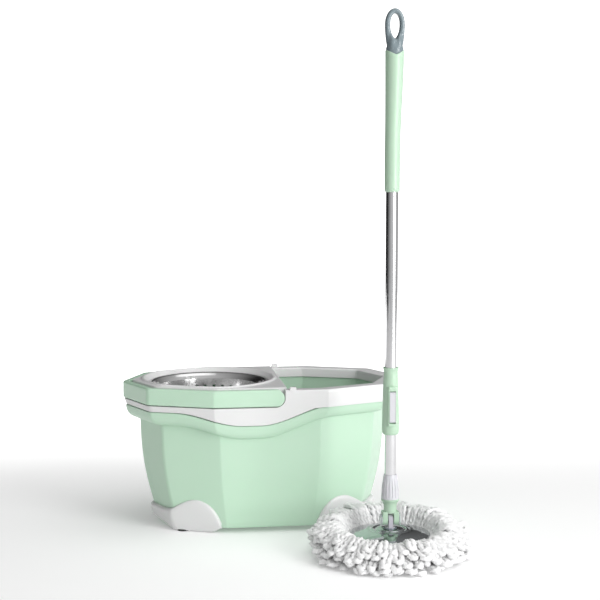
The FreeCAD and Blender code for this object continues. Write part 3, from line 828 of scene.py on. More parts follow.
    def along(self, station: Station, region: Region, share: float | None, z: float) -> Station:
        """Moves a station that follows the pocket's curved end to its place at a height."""
        if share is None:
            return station
        moved = share if region is Region.POCKET else 1.0 - share
        return Station(station.corner, x=mix(station.x, PIVOT.pocket_end(z), moved))

    def column(self, station: Station, region: Region, share: float | None) -> list[Vector]:
        """The section's points at one station.

        Args:
            station: the place.
            region: its section.
            share: its share beside the pocket's end, or None.

        Returns:
            The points in the bucket's frame.
        """
        section = self.section(region)
        low_station = self.along(station, region, share, self.ledge_z)
        x = OUTLINE.at(low_station, *self.skirt_low).x
        edge = collar_edge(x) + self.edge_gap
        low = (*self.skirt_low, edge + self.edge_round)
        high = (*self.skirt_high, self.skirt_top_z)
        full = [(length, width, edge) for length, width in self.skirt_edge] + [low]
        full += [tuple(mix(a, b, part) for a, b in zip(low, high)) for part in (0.33, 0.67, 1.0)]
        points = []
        for index, (length, width, z) in enumerate(full + section):
            here = self.along(station, region, share, z if index >= len(full) else self.ledge_z)
            flat = OUTLINE.at(here, length, width)
            lift = self.tab(here.x) if here.x is not None and index - len(full) in self.raised else 0.0
            points.append(Vector((flat.x, flat.y, z + lift)))
        return points

    def build(self) -> Thing:
        """Makes the collar.

        Returns:
            The piece.
        """
        centre = bucket_centre()
        columns = [self.column(*row) for row in self.stations()]
        rings = [[centre + column[k] for column in columns] for k in range(len(columns[0]))]
        shape = bmesh.new()
        loft(shape, rings, joined=True)
        thing = new_thing("collar", tidied(shape))
        thing.modifiers.new("flat", "WEIGHTED_NORMAL").keep_sharp = True
        return mounted(thing, "bucket", WHITE, "rim_collar", sharp=42.0)


@dataclass
class CarryHandle:
    """The mint handle that folds into the collar's pocket."""

    outer: tuple[float, float] = (0.250, 0.137)
    inner: tuple[float, float] = (0.238, 0.125)
    levels: tuple[tuple[float, float], ...] = (
        (0.2270, 0.0020), (0.2274, 0.0010), (0.2284, 0.0003), (0.2298, 0.0), (0.2340, 0.0), (0.2380, 0.0),
        (0.2415, 0.0), (0.2450, 0.0), (0.2490, 0.0), (0.2527, 0.0), (0.2541, 0.0003), (0.2552, 0.0011),
        (0.2558, 0.0021), (0.2560, 0.0033))
    stud_radius: float = 0.005
    stud_from: float = 0.121
    stud_to: float = 0.127

    def section(self, station: Station, share: float | None) -> list[Vector]:
        """The handle's section at a station: up the outside, then down the inside.

        Args:
            station: the place.
            share: 1 at the round end, less before it, or None away from it.

        Returns:
            The points in the bucket's frame.
        """
        sides = [(self.outer, -1.0, self.levels), (self.inner, 1.0, self.levels[::-1])]
        points = []
        for (length, width), sign, levels in sides:
            for z, inset in levels:
                here = station
                if share is not None:
                    here = Station(station.corner, x=mix(station.x, PIVOT.handle_end(z), share))
                flat = OUTLINE.at(here, length + sign * inset, width + sign * inset)
                points.append(Vector((flat.x, flat.y, z)))
        return points

    def stations(self) -> list[tuple[Station, float | None]]:
        """The places from the far round end to the near one, with their shares beside the ends."""
        first, *others = pocket_places()
        rows = [(first, share) for share in (1.0, 0.97, 0.9, 0.75, 0.5, 0.25, 0.0)]
        rows += [(station, None) for station in others]
        mirrored = [(Station(NEAR_SIDE, x=s.x), share) for s, share in reversed(rows)]
        return rows + [(s, None) for s in OUTLINE.ends(FAR_SIDE + 1, NEAR_SIDE)] + mirrored

    def build(self) -> Thing:
        """Makes the handle with the two studs that it turns on.

        Returns:
            The piece.
        """
        centre = bucket_centre()
        shape = bmesh.new()
        loops = loft(shape, [[centre + p for p in self.section(*row)] for row in self.stations()])
        count = len(self.levels)
        for loop in loops:
            bmesh.ops.bridge_loops(shape, edges=loop[:count - 1] + loop[count:2 * count - 1])
        for side in (-1.0, 1.0):
            middle = centre + Vector((PIVOT.x, side * (self.stud_from + self.stud_to) / 2.0, PIVOT.z))
            place = Matrix.Translation(middle) @ Matrix.Rotation(math.pi / 2.0, 4, "X")
            bmesh.ops.create_cone(shape, cap_ends=True, segments=32, radius1=self.stud_radius,
                                  radius2=self.stud_radius, depth=self.stud_to - self.stud_from, matrix=place)
        thing = new_thing("carry_handle_skin", tidied(shape))
        rounded_edges(thing, 0.0012, 3, 50.0)
        return mounted(thing, "handle", MINT, "carry_handle")


@dataclass
class Deck:
    """The white deck over the left half, with the raised ring and funnel round the basket."""

    outline: tuple[float, float] = (0.2335, 0.1240)
    edge_x: float = 0.028
    corner: float = 0.004
    low_z: float = 0.2493
    top_z: float = 0.258
    axis_x: float = -0.097
    throat: float = 0.1065
    ring: tuple[tuple[float, float], ...] = (
        (0.1215, 0.2580), (0.1204, 0.2583), (0.1193, 0.2593), (0.1184, 0.2601), (0.1172, 0.2605), (0.1158, 0.2605),
        (0.1146, 0.2601), (0.1134, 0.2592), (0.1082, 0.2543), (0.1072, 0.2532), (0.1066, 0.2520), (0.1065, 0.2500),
        (0.1070, 0.2495), (0.1082, 0.2495), (0.1087, 0.2500), (0.1087, 0.2515), (0.1160, 0.2555))
    wall: float = 0.003
    margin: float = 0.0052
    curtain: tuple[float, float] = (0.025, 0.1135)
    curtain_z: float = 0.222
    curtain_top: float = 0.2540
    under_z: float = 0.2550
    edge_steps: int = 34
    spacing: float = 0.0068

    def loop(self, inset: float, z: float) -> list[Vector]:
        """A ring round the deck's plan, moved in by an inset.

        Args:
            inset: how far inside the plan it is.
            z: its height.

        Returns:
            The ring's points, anticlockwise from the near end of the straight edge.
        """
        length, width = (size - inset for size in self.outline)
        edge, radius = self.edge_x - inset, max(0.0005, self.corner - inset)

        def rounded(middle: float, first: float) -> list[Vector]:
            """The points between the ends of a rounded corner, from its first angle in degrees."""
            turns = [math.radians(first + 18.0 * k) for k in range(1, 5)]
            return [Vector((edge - radius + radius * math.cos(a), middle + radius * math.sin(a), z)) for a in turns]

        points = []
        for step in range(self.edge_steps + 1):
            points.append(Vector((edge, mix(-width + radius, width - radius, step / self.edge_steps), z)))
        points += rounded(width - radius, 0.0)
        far = [Station(FAR_SIDE, x=edge - radius - self.spacing * i) for i in range(16)]
        near = [Station(NEAR_SIDE, x=s.x) for s in reversed(far)]
        for station in far + OUTLINE.ends(FAR_SIDE + 1, NEAR_SIDE) + near:
            flat = OUTLINE.at(station, length, width)
            points.append(Vector((flat.x, flat.y, z)))
        return points + rounded(-width + radius, -90.0)

    def circle(self, radius: float, z: float, guide: Sequence[Vector]) -> list[Vector]:
        """A circle round the basket's axis, drawn in where the plan is too narrow for it.

        Args:
            radius: its radius where there is room.
            z: its height.
            guide: the deck's edge; the circle has a point in line with each of its points.

        Returns:
            The circle's points.
        """
        widest = self.ring[0][0]
        points = []
        for edge in guide:
            reach = Vector((edge.x - self.axis_x, edge.y))
            room = min(widest, reach.length - self.margin)
            share = max(0.0, radius - self.throat) / (widest - self.throat)
            flat = reach.normalized() * (min(radius, self.throat) + share * (room - self.throat))
            points.append(Vector((self.axis_x + flat.x, flat.y, z)))
        return points

    def build(self) -> Thing:
        """Makes the deck with the curtain that hangs from its straight edge.

        Returns:
            The piece.
        """
        centre = bucket_centre()
        guide = self.loop(0.0, self.low_z)
        rims = [(0.0, self.low_z), (0.0, 0.2530), (0.0, 0.2563), (0.0004, 0.2573), (0.0012, 0.2579),
                (0.0024, self.top_z), (0.0045, self.top_z)]
        rings = [self.loop(inset, z) for inset, z in rims]
        rings += [self.circle(radius, z, guide) for radius, z in self.ring]
        rings += [self.loop(self.wall, self.under_z), self.loop(self.wall, self.low_z)]
        shape = bmesh.new()
        loft(shape, [[centre + p for p in ring] for ring in rings], joined=True)
        x_in, half = self.curtain
        middle = centre + Vector(((x_in + self.edge_x) / 2.0, 0.0, (self.curtain_z + self.curtain_top) / 2.0))
        size = (self.edge_x - x_in, 2.0 * half, self.curtain_top - self.curtain_z, 1.0)
        bmesh.ops.create_cube(shape, size=1.0, matrix=Matrix.Translation(middle) @ Matrix.Diagonal(size))
        thing = new_thing("deck", tidied(shape))
        thing.modifiers.new("flat", "WEIGHTED_NORMAL").keep_sharp = True
        return mounted(thing, "bucket", WHITE, "basket_deck", sharp=42.0)


@dataclass
class Foot:
    """One white corner foot: a shoe that wraps the tub's lower corner and arches over it."""

    front: bool
    left: bool
    base_z: float = 0.0015
    low: tuple[float, float] = (0.1890, 0.1020)
    spread: tuple[float, float] = (0.0220, 0.0135)
    full_z: float = 0.060
    heel: float = 0.0365
    hump: float = 0.0225
    heel_x: float = 0.190
    hump_x: float = 0.131
    toe: float = 0.043
    toe_curve: float = 2.3
    toe_least: float = 0.004
    tuck: float = 0.22
    bite: float = 0.0035
    last_share: float = 0.925
    toe_steps: int = 26
    nominal: tuple[float, float] = (0.205, 0.1125)
    end_rise: float = 0.0145
    toe_rise: float = 0.0080
    shares: tuple[float, ...] = (0.0, 0.05, 0.14, 0.28, 0.44, 0.6, 0.74, 0.84, 0.90, 0.94, 0.97, 0.99, 1.0)

    def arch(self, x: float) -> float:
        """The height of the foot's top at a distance from the bucket's middle."""
        if x >= self.hump_x:
            return self.heel + self.hump * smoothstep((self.heel_x - x) / (self.heel_x - self.hump_x))
        reach = min(1.0, (self.hump_x - x) / self.toe)
        return (self.heel + self.hump) * math.sqrt(max(self.toe_least, 1.0 - reach ** self.toe_curve))

    def underside(self, station: Station) -> float:
        """The height of the foot's underside at a station: it rises to the end's middle and under the toe."""
        if station.corner == 0 and not station.rounded:
            return self.base_z + self.end_rise * (1.0 - station.share)
        if station.corner == 1 and not station.rounded:
            return self.base_z + self.toe_rise * smoothstep((station.share - 0.70) / 0.25)
        return self.base_z

    def section(self, station: Station, tub: Tub) -> list[Vector]:
        """The foot's section at a station: out along the floor, up the outside and down the tub's wall.

        Args:
            station: the place, on the far right quarter of the plan.
            tub: the tub that the foot is on.

        Returns:
            The points in the bucket's frame.
        """
        low = self.underside(station)
        top = max(low + 0.001, self.arch(abs(OUTLINE.at(station, *self.nominal).x)))
        rows = []
        for share in self.shares:
            z = mix(low, top, share)
            rise = math.sqrt(z / self.full_z)
            body = (tub.half_length(z), tub.half_width(z))
            foot = (self.low[0] + self.spread[0] * rise, self.low[1] + self.spread[1] * rise)
            swell = math.sqrt(max(0.0, 1.0 - share ** 7)) - (self.tuck if share == 0.0 else 0.0)
            rows.append((*(mix(b, f, swell) for b, f in zip(body, foot)), z))
        heights = [mix(low, top, share) for share in (0.97, 0.6, 0.28, 0.0)]
        inner = [(tub.half_length(z) - self.bite, tub.half_width(z) - self.bite, z) for z in heights]
        flats = [(OUTLINE.at(station, length, width), z) for length, width, z in rows + inner]
        return [Vector((flat.x, flat.y, z)) for flat, z in flats]

    def build(self, tub: Tub) -> Thing:
        """Makes the foot.

        Args:
            tub: the tub that the foot is on.

        Returns:
            The piece.
        """
        name = f"foot_{'front' if self.front else 'rear'}_{'left' if self.left else 'right'}"
        turn = Matrix.Diagonal((-1.0 if self.left else 1.0, -1.0 if self.front else 1.0, 1.0))
        first = [Station(0, share) for share in (0.0, 0.04, 0.1)] + OUTLINE.side(0)[1:] + OUTLINE.rounding(1)
        angles = [math.radians(90.0 * k / self.toe_steps) for k in range(1, self.toe_steps + 1)]
        reach = [Station(1, self.last_share * math.sin(angle)) for angle in angles]
        centre = bucket_centre()
        shape = bmesh.new()
        loops = loft(shape, [[centre + turn @ p for p in self.section(s, tub)] for s in first + reach])
        bmesh.ops.contextual_create(shape, geom=loops[0])
        bmesh.ops.contextual_create(shape, geom=loops[-1])
        thing = new_thing(name + "_shoe", tidied(shape))
        thing.modifiers.new("flat", "WEIGHTED_NORMAL").keep_sharp = True
        return mounted(thing, "bucket", WHITE, name)


# ---------------------------------------------------------------- the mop


def mop_axis() -> Vector:
    """The floor point under the middle of the mop's pole."""
    low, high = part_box("lower_tube")
    return Vector(((low.x + high.x) / 2.0, (low.y + high.y) / 2.0, 0.0))


@dataclass
class MopPlate:
    """The pressed steel disc: two rings pressed round the hub, a dome and a rolled rim."""

    top_z: float = 0.0460
    drop: float = 0.0090
    first: float = 0.0120
    rim: float = 0.0655
    sheet: float = 0.0008
    pressed: tuple[tuple[float, float], ...] = (
        (0.0080, 0.0460), (0.0195, 0.0460), (0.0212, 0.0458), (0.0224, 0.0451), (0.0234, 0.0442), (0.0245, 0.0439),
        (0.0257, 0.0442), (0.0270, 0.0449), (0.0286, 0.0453), (0.0302, 0.0452), (0.0316, 0.0446), (0.0328, 0.0440),
        (0.0342, 0.0437))
    curl: tuple[tuple[float, float], ...] = (
        (0.0651, 0.0374), (0.0657, 0.0369), (0.0659, 0.0362), (0.0656, 0.0356), (0.0649, 0.0353))

    def dome(self, radius: float) -> float:
        """The dome's height at a radius."""
        share = (radius - self.first) / (self.rim - self.first)
        return self.top_z - self.drop * share ** 2.2

    def build(self) -> Thing:
        """Makes the disc.

        Returns:
            The piece.
        """
        steps = 18
        start = self.pressed[-1][0] + 0.003
        dome = [(radius, self.dome(radius)) for radius in (mix(start, 0.0640, k / steps) for k in range(steps + 1))]
        over = [*self.pressed, *dome, *self.curl]
        under = [(radius, z - self.sheet) for radius, z in reversed([*self.pressed, *dome])]
        shape = bmesh.new()
        turned(shape, over + under, mop_axis(), 128)
        thing = new_thing("mop_disc", tidied(shape))
        return mounted(thing, "mop_head", DISC_STEEL, "mop_plate", sharp=60.0)


@dataclass(frozen=True)
class YarnLayer:
    """One layer of yarn loops.

    Fields:
        name: the piece's name.
        loops: how many loops go round.
        root_z: the height where they leave the clamp ring.
        crest_z: the height that they rise or sink to.
        crest_r: the radius where they do.
        end_z: the height of their ends.
        end_r: how far they reach.
    """

    name: str
    loops: int
    root_z: float
    crest_z: float
    crest_r: float
    end_z: float
    end_r: float


@dataclass
class YarnHead:
    """The mop's yarn: loops of thick twisted yarn in four layers, clamped under the disc."""

    root_r: float = 0.0630
    free_r: float = 0.0690
    limit_r: float = 0.1395
    limit_z: float = 0.0620
    root_thick: float = 0.0032
    full_thick: float = 0.0043
    back_lift: float = 0.0180
    pitch: float = 0.0110
    lobe: float = 0.25
    lump: float = 0.30
    around: int = 10
    spacing: float = 0.0019
    smoothing: float = 0.35
    leg_steps: int = 13
    droop: float = 1.9
    past_end: float = 1.15
    lift_z: float = 0.031
    end_lift: float = 1.4
    tip_back: float = 0.006
    tip_out: float = 0.0062
    ripple: float = 0.0016
    thin_r: float = 0.066
    thick_over: float = 0.030
    lump_scale: float = 95.0
    rough_scale: float = 330.0
    least_z: float = 0.0003
    layer_turn: float = 0.33
    uneven_turn: float = 0.14
    uneven_reach: tuple[float, float] = (-0.010, 0.004)
    uneven_crest: tuple[float, float] = (-0.004, 0.0035)
    uneven_end: tuple[float, float] = (-0.003, 0.004)
    uneven_lean: float = 0.05
    uneven_sway: float = 0.0024
    dice_seed: int = 7
    layers: tuple[YarnLayer, ...] = (
        YarnLayer("yarn_low", 42, 0.0215, 0.0110, 0.096, 0.0052, 0.1320),
        YarnLayer("yarn_middle", 43, 0.0250, 0.0270, 0.092, 0.0110, 0.1325),
        YarnLayer("yarn_upper", 44, 0.0285, 0.0370, 0.090, 0.0200, 0.1320),
        YarnLayer("yarn_top", 40, 0.0310, 0.0440, 0.088, 0.0290, 0.1250))

    def height(self, layer: YarnLayer, radius: float, crest: float, end: float) -> float:
        """A loop's height at a radius.

        Args:
            layer: its layer.
            radius: distance from the axis.
            crest: its own crest height.
            end: its own end height.

        Returns:
            The height of the loop's middle.
        """
        rise = smoothstep((radius - self.free_r) / (layer.crest_r - self.free_r))
        z = mix(layer.root_z, crest, rise)
        fall = max(0.0, radius - layer.crest_r) / (layer.end_r - layer.crest_r)
        return z + (end - crest) * min(self.past_end, fall) ** self.droop

    def path(self, layer: YarnLayer, angle: float, dice: random.Random) -> list[Vector]:
        """One loop's middle line: out, round its end and back.

        Args:
            layer: its layer.
            angle: its direction from the axis.
            dice: the source of its unevenness.

        Returns:
            Points about evenly spaced along it, about the axis.
        """
        reach = layer.end_r + dice.uniform(*self.uneven_reach)
        back = self.back_lift * layer.root_z / self.lift_z * (0.5 + 0.5 * math.sin(angle)) ** 1.5
        crest = layer.crest_z + back + dice.uniform(*self.uneven_crest)
        end = layer.end_z + back * self.end_lift + dice.uniform(*self.uneven_end)
        half = math.pi / layer.loops * 0.5
        lean = dice.uniform(-self.uneven_lean, self.uneven_lean)
        sway = [dice.uniform(-self.uneven_sway, self.uneven_sway) for _ in range(4)]
        bob = [dice.uniform(0.0, math.tau) for _ in range(2)]
        legs = []
        for index, side in enumerate((-1.0, 1.0)):
            leg = []
            for step in range(self.leg_steps + 1):
                share = step / self.leg_steps
                radius = mix(self.root_r, reach - self.tip_back, share)
                wave = sway[index] * math.sin(math.pi * 1.5 * share) + sway[2] * math.sin(math.tau * share)
                turn = angle + side * half * mix(0.95, 1.0, share) + lean * share ** 2 + wave / radius
                z = self.height(layer, radius, crest, end)
                z += self.ripple * share * math.sin(9.0 * share + bob[index])
                leg.append(Vector((radius * math.cos(turn), radius * math.sin(turn), z)))
            legs.append(leg)
        tip_turn = angle + lean
        out = Vector((math.cos(tip_turn), math.sin(tip_turn), 0.0))
        left, right = legs[0][-1], legs[1][-1]
        tips = [left.lerp(right, s) + out * (self.tip_out * math.sin(math.pi * s)) for s in (0.2, 0.5, 0.8)]
        return self.evened(legs[0] + tips + legs[1][::-1])

    def evened(self, points: list[Vector]) -> list[Vector]:
        """Points at an even spacing along a line, smoothed at its corners."""
        for _ in range(2):
            points = [points[0]] + [p.lerp((a + b) / 2.0, self.smoothing) for a, p, b in
                                    zip(points, points[1:], points[2:])] + [points[-1]]
        made, left = [points[0]], self.spacing
        for a, b in zip(points, points[1:]):
            run = (b - a).length
            place = left
            while place < run:
                made.append(a.lerp(b, place / run))
                place += self.spacing
            left = place - run
        return made

    def ring(self, here: Vector, along: Vector, travel: float, seed: Vector) -> list[Vector]:
        """The yarn's lumpy two-strand section at a point.

        Args:
            here: the point on its middle line.
            along: its direction there.
            travel: how far along the yarn it is.
            seed: shifts the lumps from loop to loop.

        Returns:
            The section's points, about the axis.
        """
        side = along.cross(Vector((0.0, 0.0, 1.0))).normalized()
        lift = side.cross(along)
        radius = math.hypot(here.x, here.y)
        thick = mix(self.root_thick, self.full_thick, smoothstep((radius - self.thin_r) / self.thick_over))
        thick *= 1.0 + self.lump * noise.noise(here * self.lump_scale + seed)
        points = []
        for step in range(self.around):
            angle = math.tau * step / self.around
            lobe = 1.0 + self.lobe * math.cos(2.0 * (angle - math.tau * travel / (2.0 * self.pitch)))
            way = side * math.cos(angle) + lift * math.sin(angle)
            rough = 1.0 + self.lump * noise.noise((here + way * thick) * self.rough_scale + seed)
            points.append(self.held(here + way * (thick * lobe * rough)))
        return points

    def held(self, point: Vector) -> Vector:
        """Keeps a point over the floor and inside the head's outline."""
        radius = math.hypot(point.x, point.y)
        share = min(1.0, self.limit_r / radius)
        return Vector((point.x * share, point.y * share, min(self.limit_z, max(self.least_z, point.z))))

    def build(self) -> None:
        """Makes one piece for each layer; the first stands for the frame's plain fringe."""
        dice = random.Random(self.dice_seed)
        axis = mop_axis()
        for index, layer in enumerate(self.layers):
            whole = bmesh.new()
            for loop in range(layer.loops):
                uneven = dice.uniform(-self.uneven_turn, self.uneven_turn)
                angle = math.tau * (loop + self.layer_turn * index + uneven) / layer.loops
                path = self.path(layer, angle, dice)
                seed = Vector([dice.uniform(-50.0, 50.0) for _ in range(3)])
                ends = path[:1] + path + path[-1:]
                rings = []
                for step, here in enumerate(path):
                    along = (ends[step + 2] - ends[step]).normalized()
                    rings.append([axis + p for p in self.ring(here, along, step * self.spacing, seed)])
                strand = bmesh.new()
                for edges in loft(strand, rings):
                    bmesh.ops.contextual_create(strand, geom=edges)
                tidied(strand)
                mesh = bpy.data.meshes.new("strand")
                strand.to_mesh(mesh)
                strand.free()
                whole.from_mesh(mesh)
                bpy.data.meshes.remove(mesh)
            thing = new_thing(layer.name, whole)
            mounted(thing, "mop_head", WHITE_YARN, *(["yarn_fringe"] if index == 0 else []), sharp=180.0)


@dataclass
class Grip:
    """The mint hand grip: slim below, swelling and leaning a little towards the top, with a notched end."""

    low_z: float = 0.5955
    top_z: float = 0.8195
    bore: float = 0.0098
    notch: float = 0.0070
    slim: float = 0.0121
    swell: float = 0.0026
    swell_from: float = 0.670
    swell_over: float = 0.159
    taper: float = 0.0002
    taper_from: float = 0.600
    taper_over: float = 0.040
    shift: float = 0.0026
    shift_from: float = 0.640
    shift_over: float = 0.179
    low_edge: tuple[tuple[float, float], ...] = ((0.0, 0.0016), (0.0004, 0.0006), (0.0016, 0.0))
    top_edge: tuple[tuple[float, float, float], ...] = (
        (-0.0004, 0.0003, 1.0), (0.0, 0.0010, 1.0), (0.0, 0.0030, 1.0), (-0.012, 0.0030, 0.0), (-0.014, 0.0046, 0.0))
    steps: int = 44
    around: int = 72

    def radius(self, z: float) -> float:
        """The grip's radius at a height."""
        swell = self.swell * smoothstep((z - self.swell_from) / self.swell_over)
        return self.slim + swell + self.taper * smoothstep((z - self.taper_from) / self.taper_over)

    def lean(self, z: float) -> float:
        """How far the grip's middle has moved sideways at a height."""
        return self.shift * smoothstep((z - self.shift_from) / self.shift_over)

    def ring(self, z: float, inset: float, notched: float) -> list[Vector]:
        """A ring round the grip.

        Args:
            z: its height.
            inset: how far inside the grip's surface it is.
            notched: 1 for the notched end, 0 for a level ring.

        Returns:
            The ring's points.
        """
        axis = mop_axis()
        points = []
        for step in range(self.around):
            angle = math.tau * step / self.around
            dip = self.notch * notched * (1.0 - abs(math.cos(angle)) ** 1.3)
            radius = self.radius(z) - inset
            points.append(axis + Vector((self.lean(z) + radius * math.cos(angle), radius * math.sin(angle), z - dip)))
        return points

    def build(self) -> Thing:
        """Makes the grip.

        Returns:
            The piece.
        """
        rings = [self.ring(self.low_z, self.radius(self.low_z) - self.bore, 0.0)]
        rings += [self.ring(self.low_z + rise, inset, 0.0) for rise, inset in self.low_edge]
        for step in range(1, self.steps + 1):
            share = step / self.steps
            z = mix(self.low_z + 0.0016, self.top_z - 0.0012, share)
            rings.append(self.ring(z, 0.0, smoothstep((share - 0.8) / 0.2)))
        rings += [self.ring(self.top_z + rise, inset, notched) for rise, inset, notched in self.top_edge]
        shape = bmesh.new()
        loft(shape, rings, joined=True)
        thing = new_thing("hand_grip", tidied(shape))
        return mounted(thing, "upper_pole", PALE_MINT, "grip", sharp=60.0)


@dataclass
class Hanger:
    """The grey hanging loop: two arms that run down into a pointed root in the grip's notch."""

    middle_z: float = 0.8600
    half_width: float = 0.0157
    top: float = 0.0250
    root: float = 0.0470
    eye_width: float = 0.0078
    eye_top: float = 0.0165
    eye_root: float = 0.0220
    arm_depth: float = 0.0062
    root_depth: float = 0.0138
    deep_from: float = 0.45
    deep_over: float = 0.5
    eye_point: float = 1.15
    outer_point: float = 0.72
    across_power: float = 0.7
    deep_power: float = 0.8
    held_z: float = 0.83
    stem: tuple[tuple[float, float], ...] = (
        (0.0, 0.8060), (0.0114, 0.8060), (0.0117, 0.8120), (0.0136, 0.8160), (0.0139, 0.8190), (0.0136, 0.8230),
        (0.0110, 0.8300), (0.0, 0.8320))
    steps: int = 72
    around: int = 20

    def outline(self, turn: float, width: float, top: float, root: float, point: float) -> Vector:
        """A point on an egg with a pointed lower end.

        Args:
            turn: angle round it, 0 at the top.
            width: its half width.
            top: how far it rises over the middle.
            root: how far it hangs below the middle.
            point: 1 for a round lower end, more for a pointed one.

        Returns:
            The point across and over the middle.
        """
        across, over = math.sin(turn), math.cos(turn)
        if over >= 0.0:
            return Vector((width * across, top * over))
        return Vector((width * math.copysign(abs(across) ** point, across), root * over))

    def section(self, turn: float) -> list[Vector]:
        """The loop's section at an angle round it.

        Args:
            turn: the angle, 0 at the top.

        Returns:
            The section's points.
        """
        inner = self.outline(turn, self.eye_width, self.eye_top, self.eye_root, self.eye_point)
        outer = self.outline(turn, self.half_width, self.top, self.root, self.outer_point)
        centre, half = (inner + outer) / 2.0, (outer - inner) / 2.0
        low = smoothstep((-math.cos(turn) - self.deep_from) / self.deep_over)
        depth = mix(self.arm_depth, self.root_depth, low)
        axis = mop_axis() + Vector((Grip().lean(self.held_z), 0.0, self.middle_z))
        points = []
        for step in range(self.around):
            angle = math.tau * step / self.around
            across = math.copysign(abs(math.cos(angle)) ** self.across_power, math.cos(angle))
            deep = math.copysign(abs(math.sin(angle)) ** self.deep_power, math.sin(angle))
            flat = centre + half * across
            points.append(axis + Vector((flat.x, depth * deep, flat.y)))
        return points

    def build(self) -> Thing:
        """Makes the loop with the stem that holds it in the grip.

        Returns:
            The piece.
        """
        shape = bmesh.new()
        loft(shape, [self.section(math.tau * step / self.steps) for step in range(self.steps)], joined=True)
        axis = mop_axis() + Vector((Grip().lean(self.held_z), 0.0, 0.0))
        turned(shape, self.stem, axis, self.steps, closed=False)
        thing = new_thing("hanging_loop", tidied(shape))
        return mounted(thing, "upper_pole", GREY, "hanger", sharp=60.0)


@dataclass
class Neck:
    """The pole's forked neck with its two round bearing caps, and the disc's tongue between the ears."""

    pivot_z: float = 0.0600
    ear: tuple[float, float] = (0.0049, 0.0134)
    ear_depth: float = 0.0088
    shoulder_z: float = 0.0742
    cap: tuple[float, float] = (0.0136, 0.0164)
    cap_radius: float = 0.0098
    tongue_half: float = 0.0037
    tongue_depth: float = 0.0086
    tongue_z: float = 0.0466
    throat: tuple[tuple[float, float], ...] = (
        (0.0, 0.0715), (0.0098, 0.0715), (0.0104, 0.0740), (0.0105, 0.0800), (0.0110, 0.0855), (0.0124, 0.0895),
        (0.0144, 0.0922), (0.0149, 0.0935), (0.0147, 0.0952), (0.0, 0.0952))
    stem: tuple[tuple[float, float], ...] = (
        (0.0, 0.0462), (0.0078, 0.0462), (0.0084, 0.0470), (0.0080, 0.0480), (0.0, 0.0484))

    def slab(self, shape: Shape, side: float, reach: tuple[float, float], radius: float, square_z: float) -> None:
        """Adds an upright slab with one round end about the pivot and one square end.

        Args:
            shape: the mesh to add it to.
            side: -1 for the left, 1 for the right.
            reach: where it starts and ends across.
            radius: of its round end.
            square_z: the height of its square end.
        """
        way = 1.0 if square_z < self.pivot_z else -1.0
        half_turn = [math.radians(7.5 * step) for step in range(25)]
        flat = [(radius * math.cos(a), self.pivot_z + way * radius * math.sin(a)) for a in half_turn]
        flat += [(-radius, square_z), (radius, square_z)]
        axis = mop_axis()
        rings = [[axis + Vector((side * across, y, z)) for y, z in flat] for across in reach]
        for edges in loft(shape, rings):
            bmesh.ops.contextual_create(shape, geom=edges)

    def build(self) -> None:
        """Makes the fork, the caps and the tongue."""
        fork, caps, tongue = bmesh.new(), bmesh.new(), bmesh.new()
        for side in (-1.0, 1.0):
            self.slab(fork, side, self.ear, self.ear_depth, self.shoulder_z)
            turn = Matrix.Rotation(math.radians(90.0), 4, "Y")
            middle = mop_axis() + Vector((side * sum(self.cap) / 2.0, 0.0, self.pivot_z))
            bmesh.ops.create_cone(caps, cap_ends=True, segments=48, radius1=self.cap_radius, radius2=self.cap_radius,
                                  depth=self.cap[1] - self.cap[0], matrix=Matrix.Translation(middle) @ turn)
        turned(fork, self.throat, mop_axis(), 72, closed=False)
        across = (-self.tongue_half, self.tongue_half)
        self.slab(tongue, 1.0, across, self.tongue_depth, self.tongue_z)
        turned(tongue, self.stem, mop_axis(), 64, closed=False)
        parts = (("fork", fork, "lower_pole", PALE_MINT, "neck_yoke"), ("caps", caps, "lower_pole", CLEAR, "pin_caps"),
                 ("tongue", tongue, "mop_head", LILAC_GREY, "plate_hub"))
        for name, shape, body, finish, node in parts:
            thing = rounded_edges(new_thing("neck_" + name, tidied(shape)), 0.0008)
            mounted(thing, body, finish, node)


def build_fittings() -> None:
    """Rounds the edges of the pole's moulded fittings."""
    softened("neck_cap", "lower_pole", PALE_GREY, 0.0004)
    softened("lock_sleeve", "upper_pole", PALE_MINT, 0.0007)
    softened("lock_lever", "lever", PALE_GREY, 0.0008)


# ---------------------------------------------------------------- studio


@dataclass(frozen=True)
class Lamp:
    """One soft rectangular lamp.

    Fields:
        name: its name.
        place: where it hangs.
        target: the point that it faces.
        size: its width and height.
        power: in watts.
    """

    name: str
    place: tuple[float, float, float]
    target: tuple[float, float, float]
    size: tuple[float, float]
    power: float


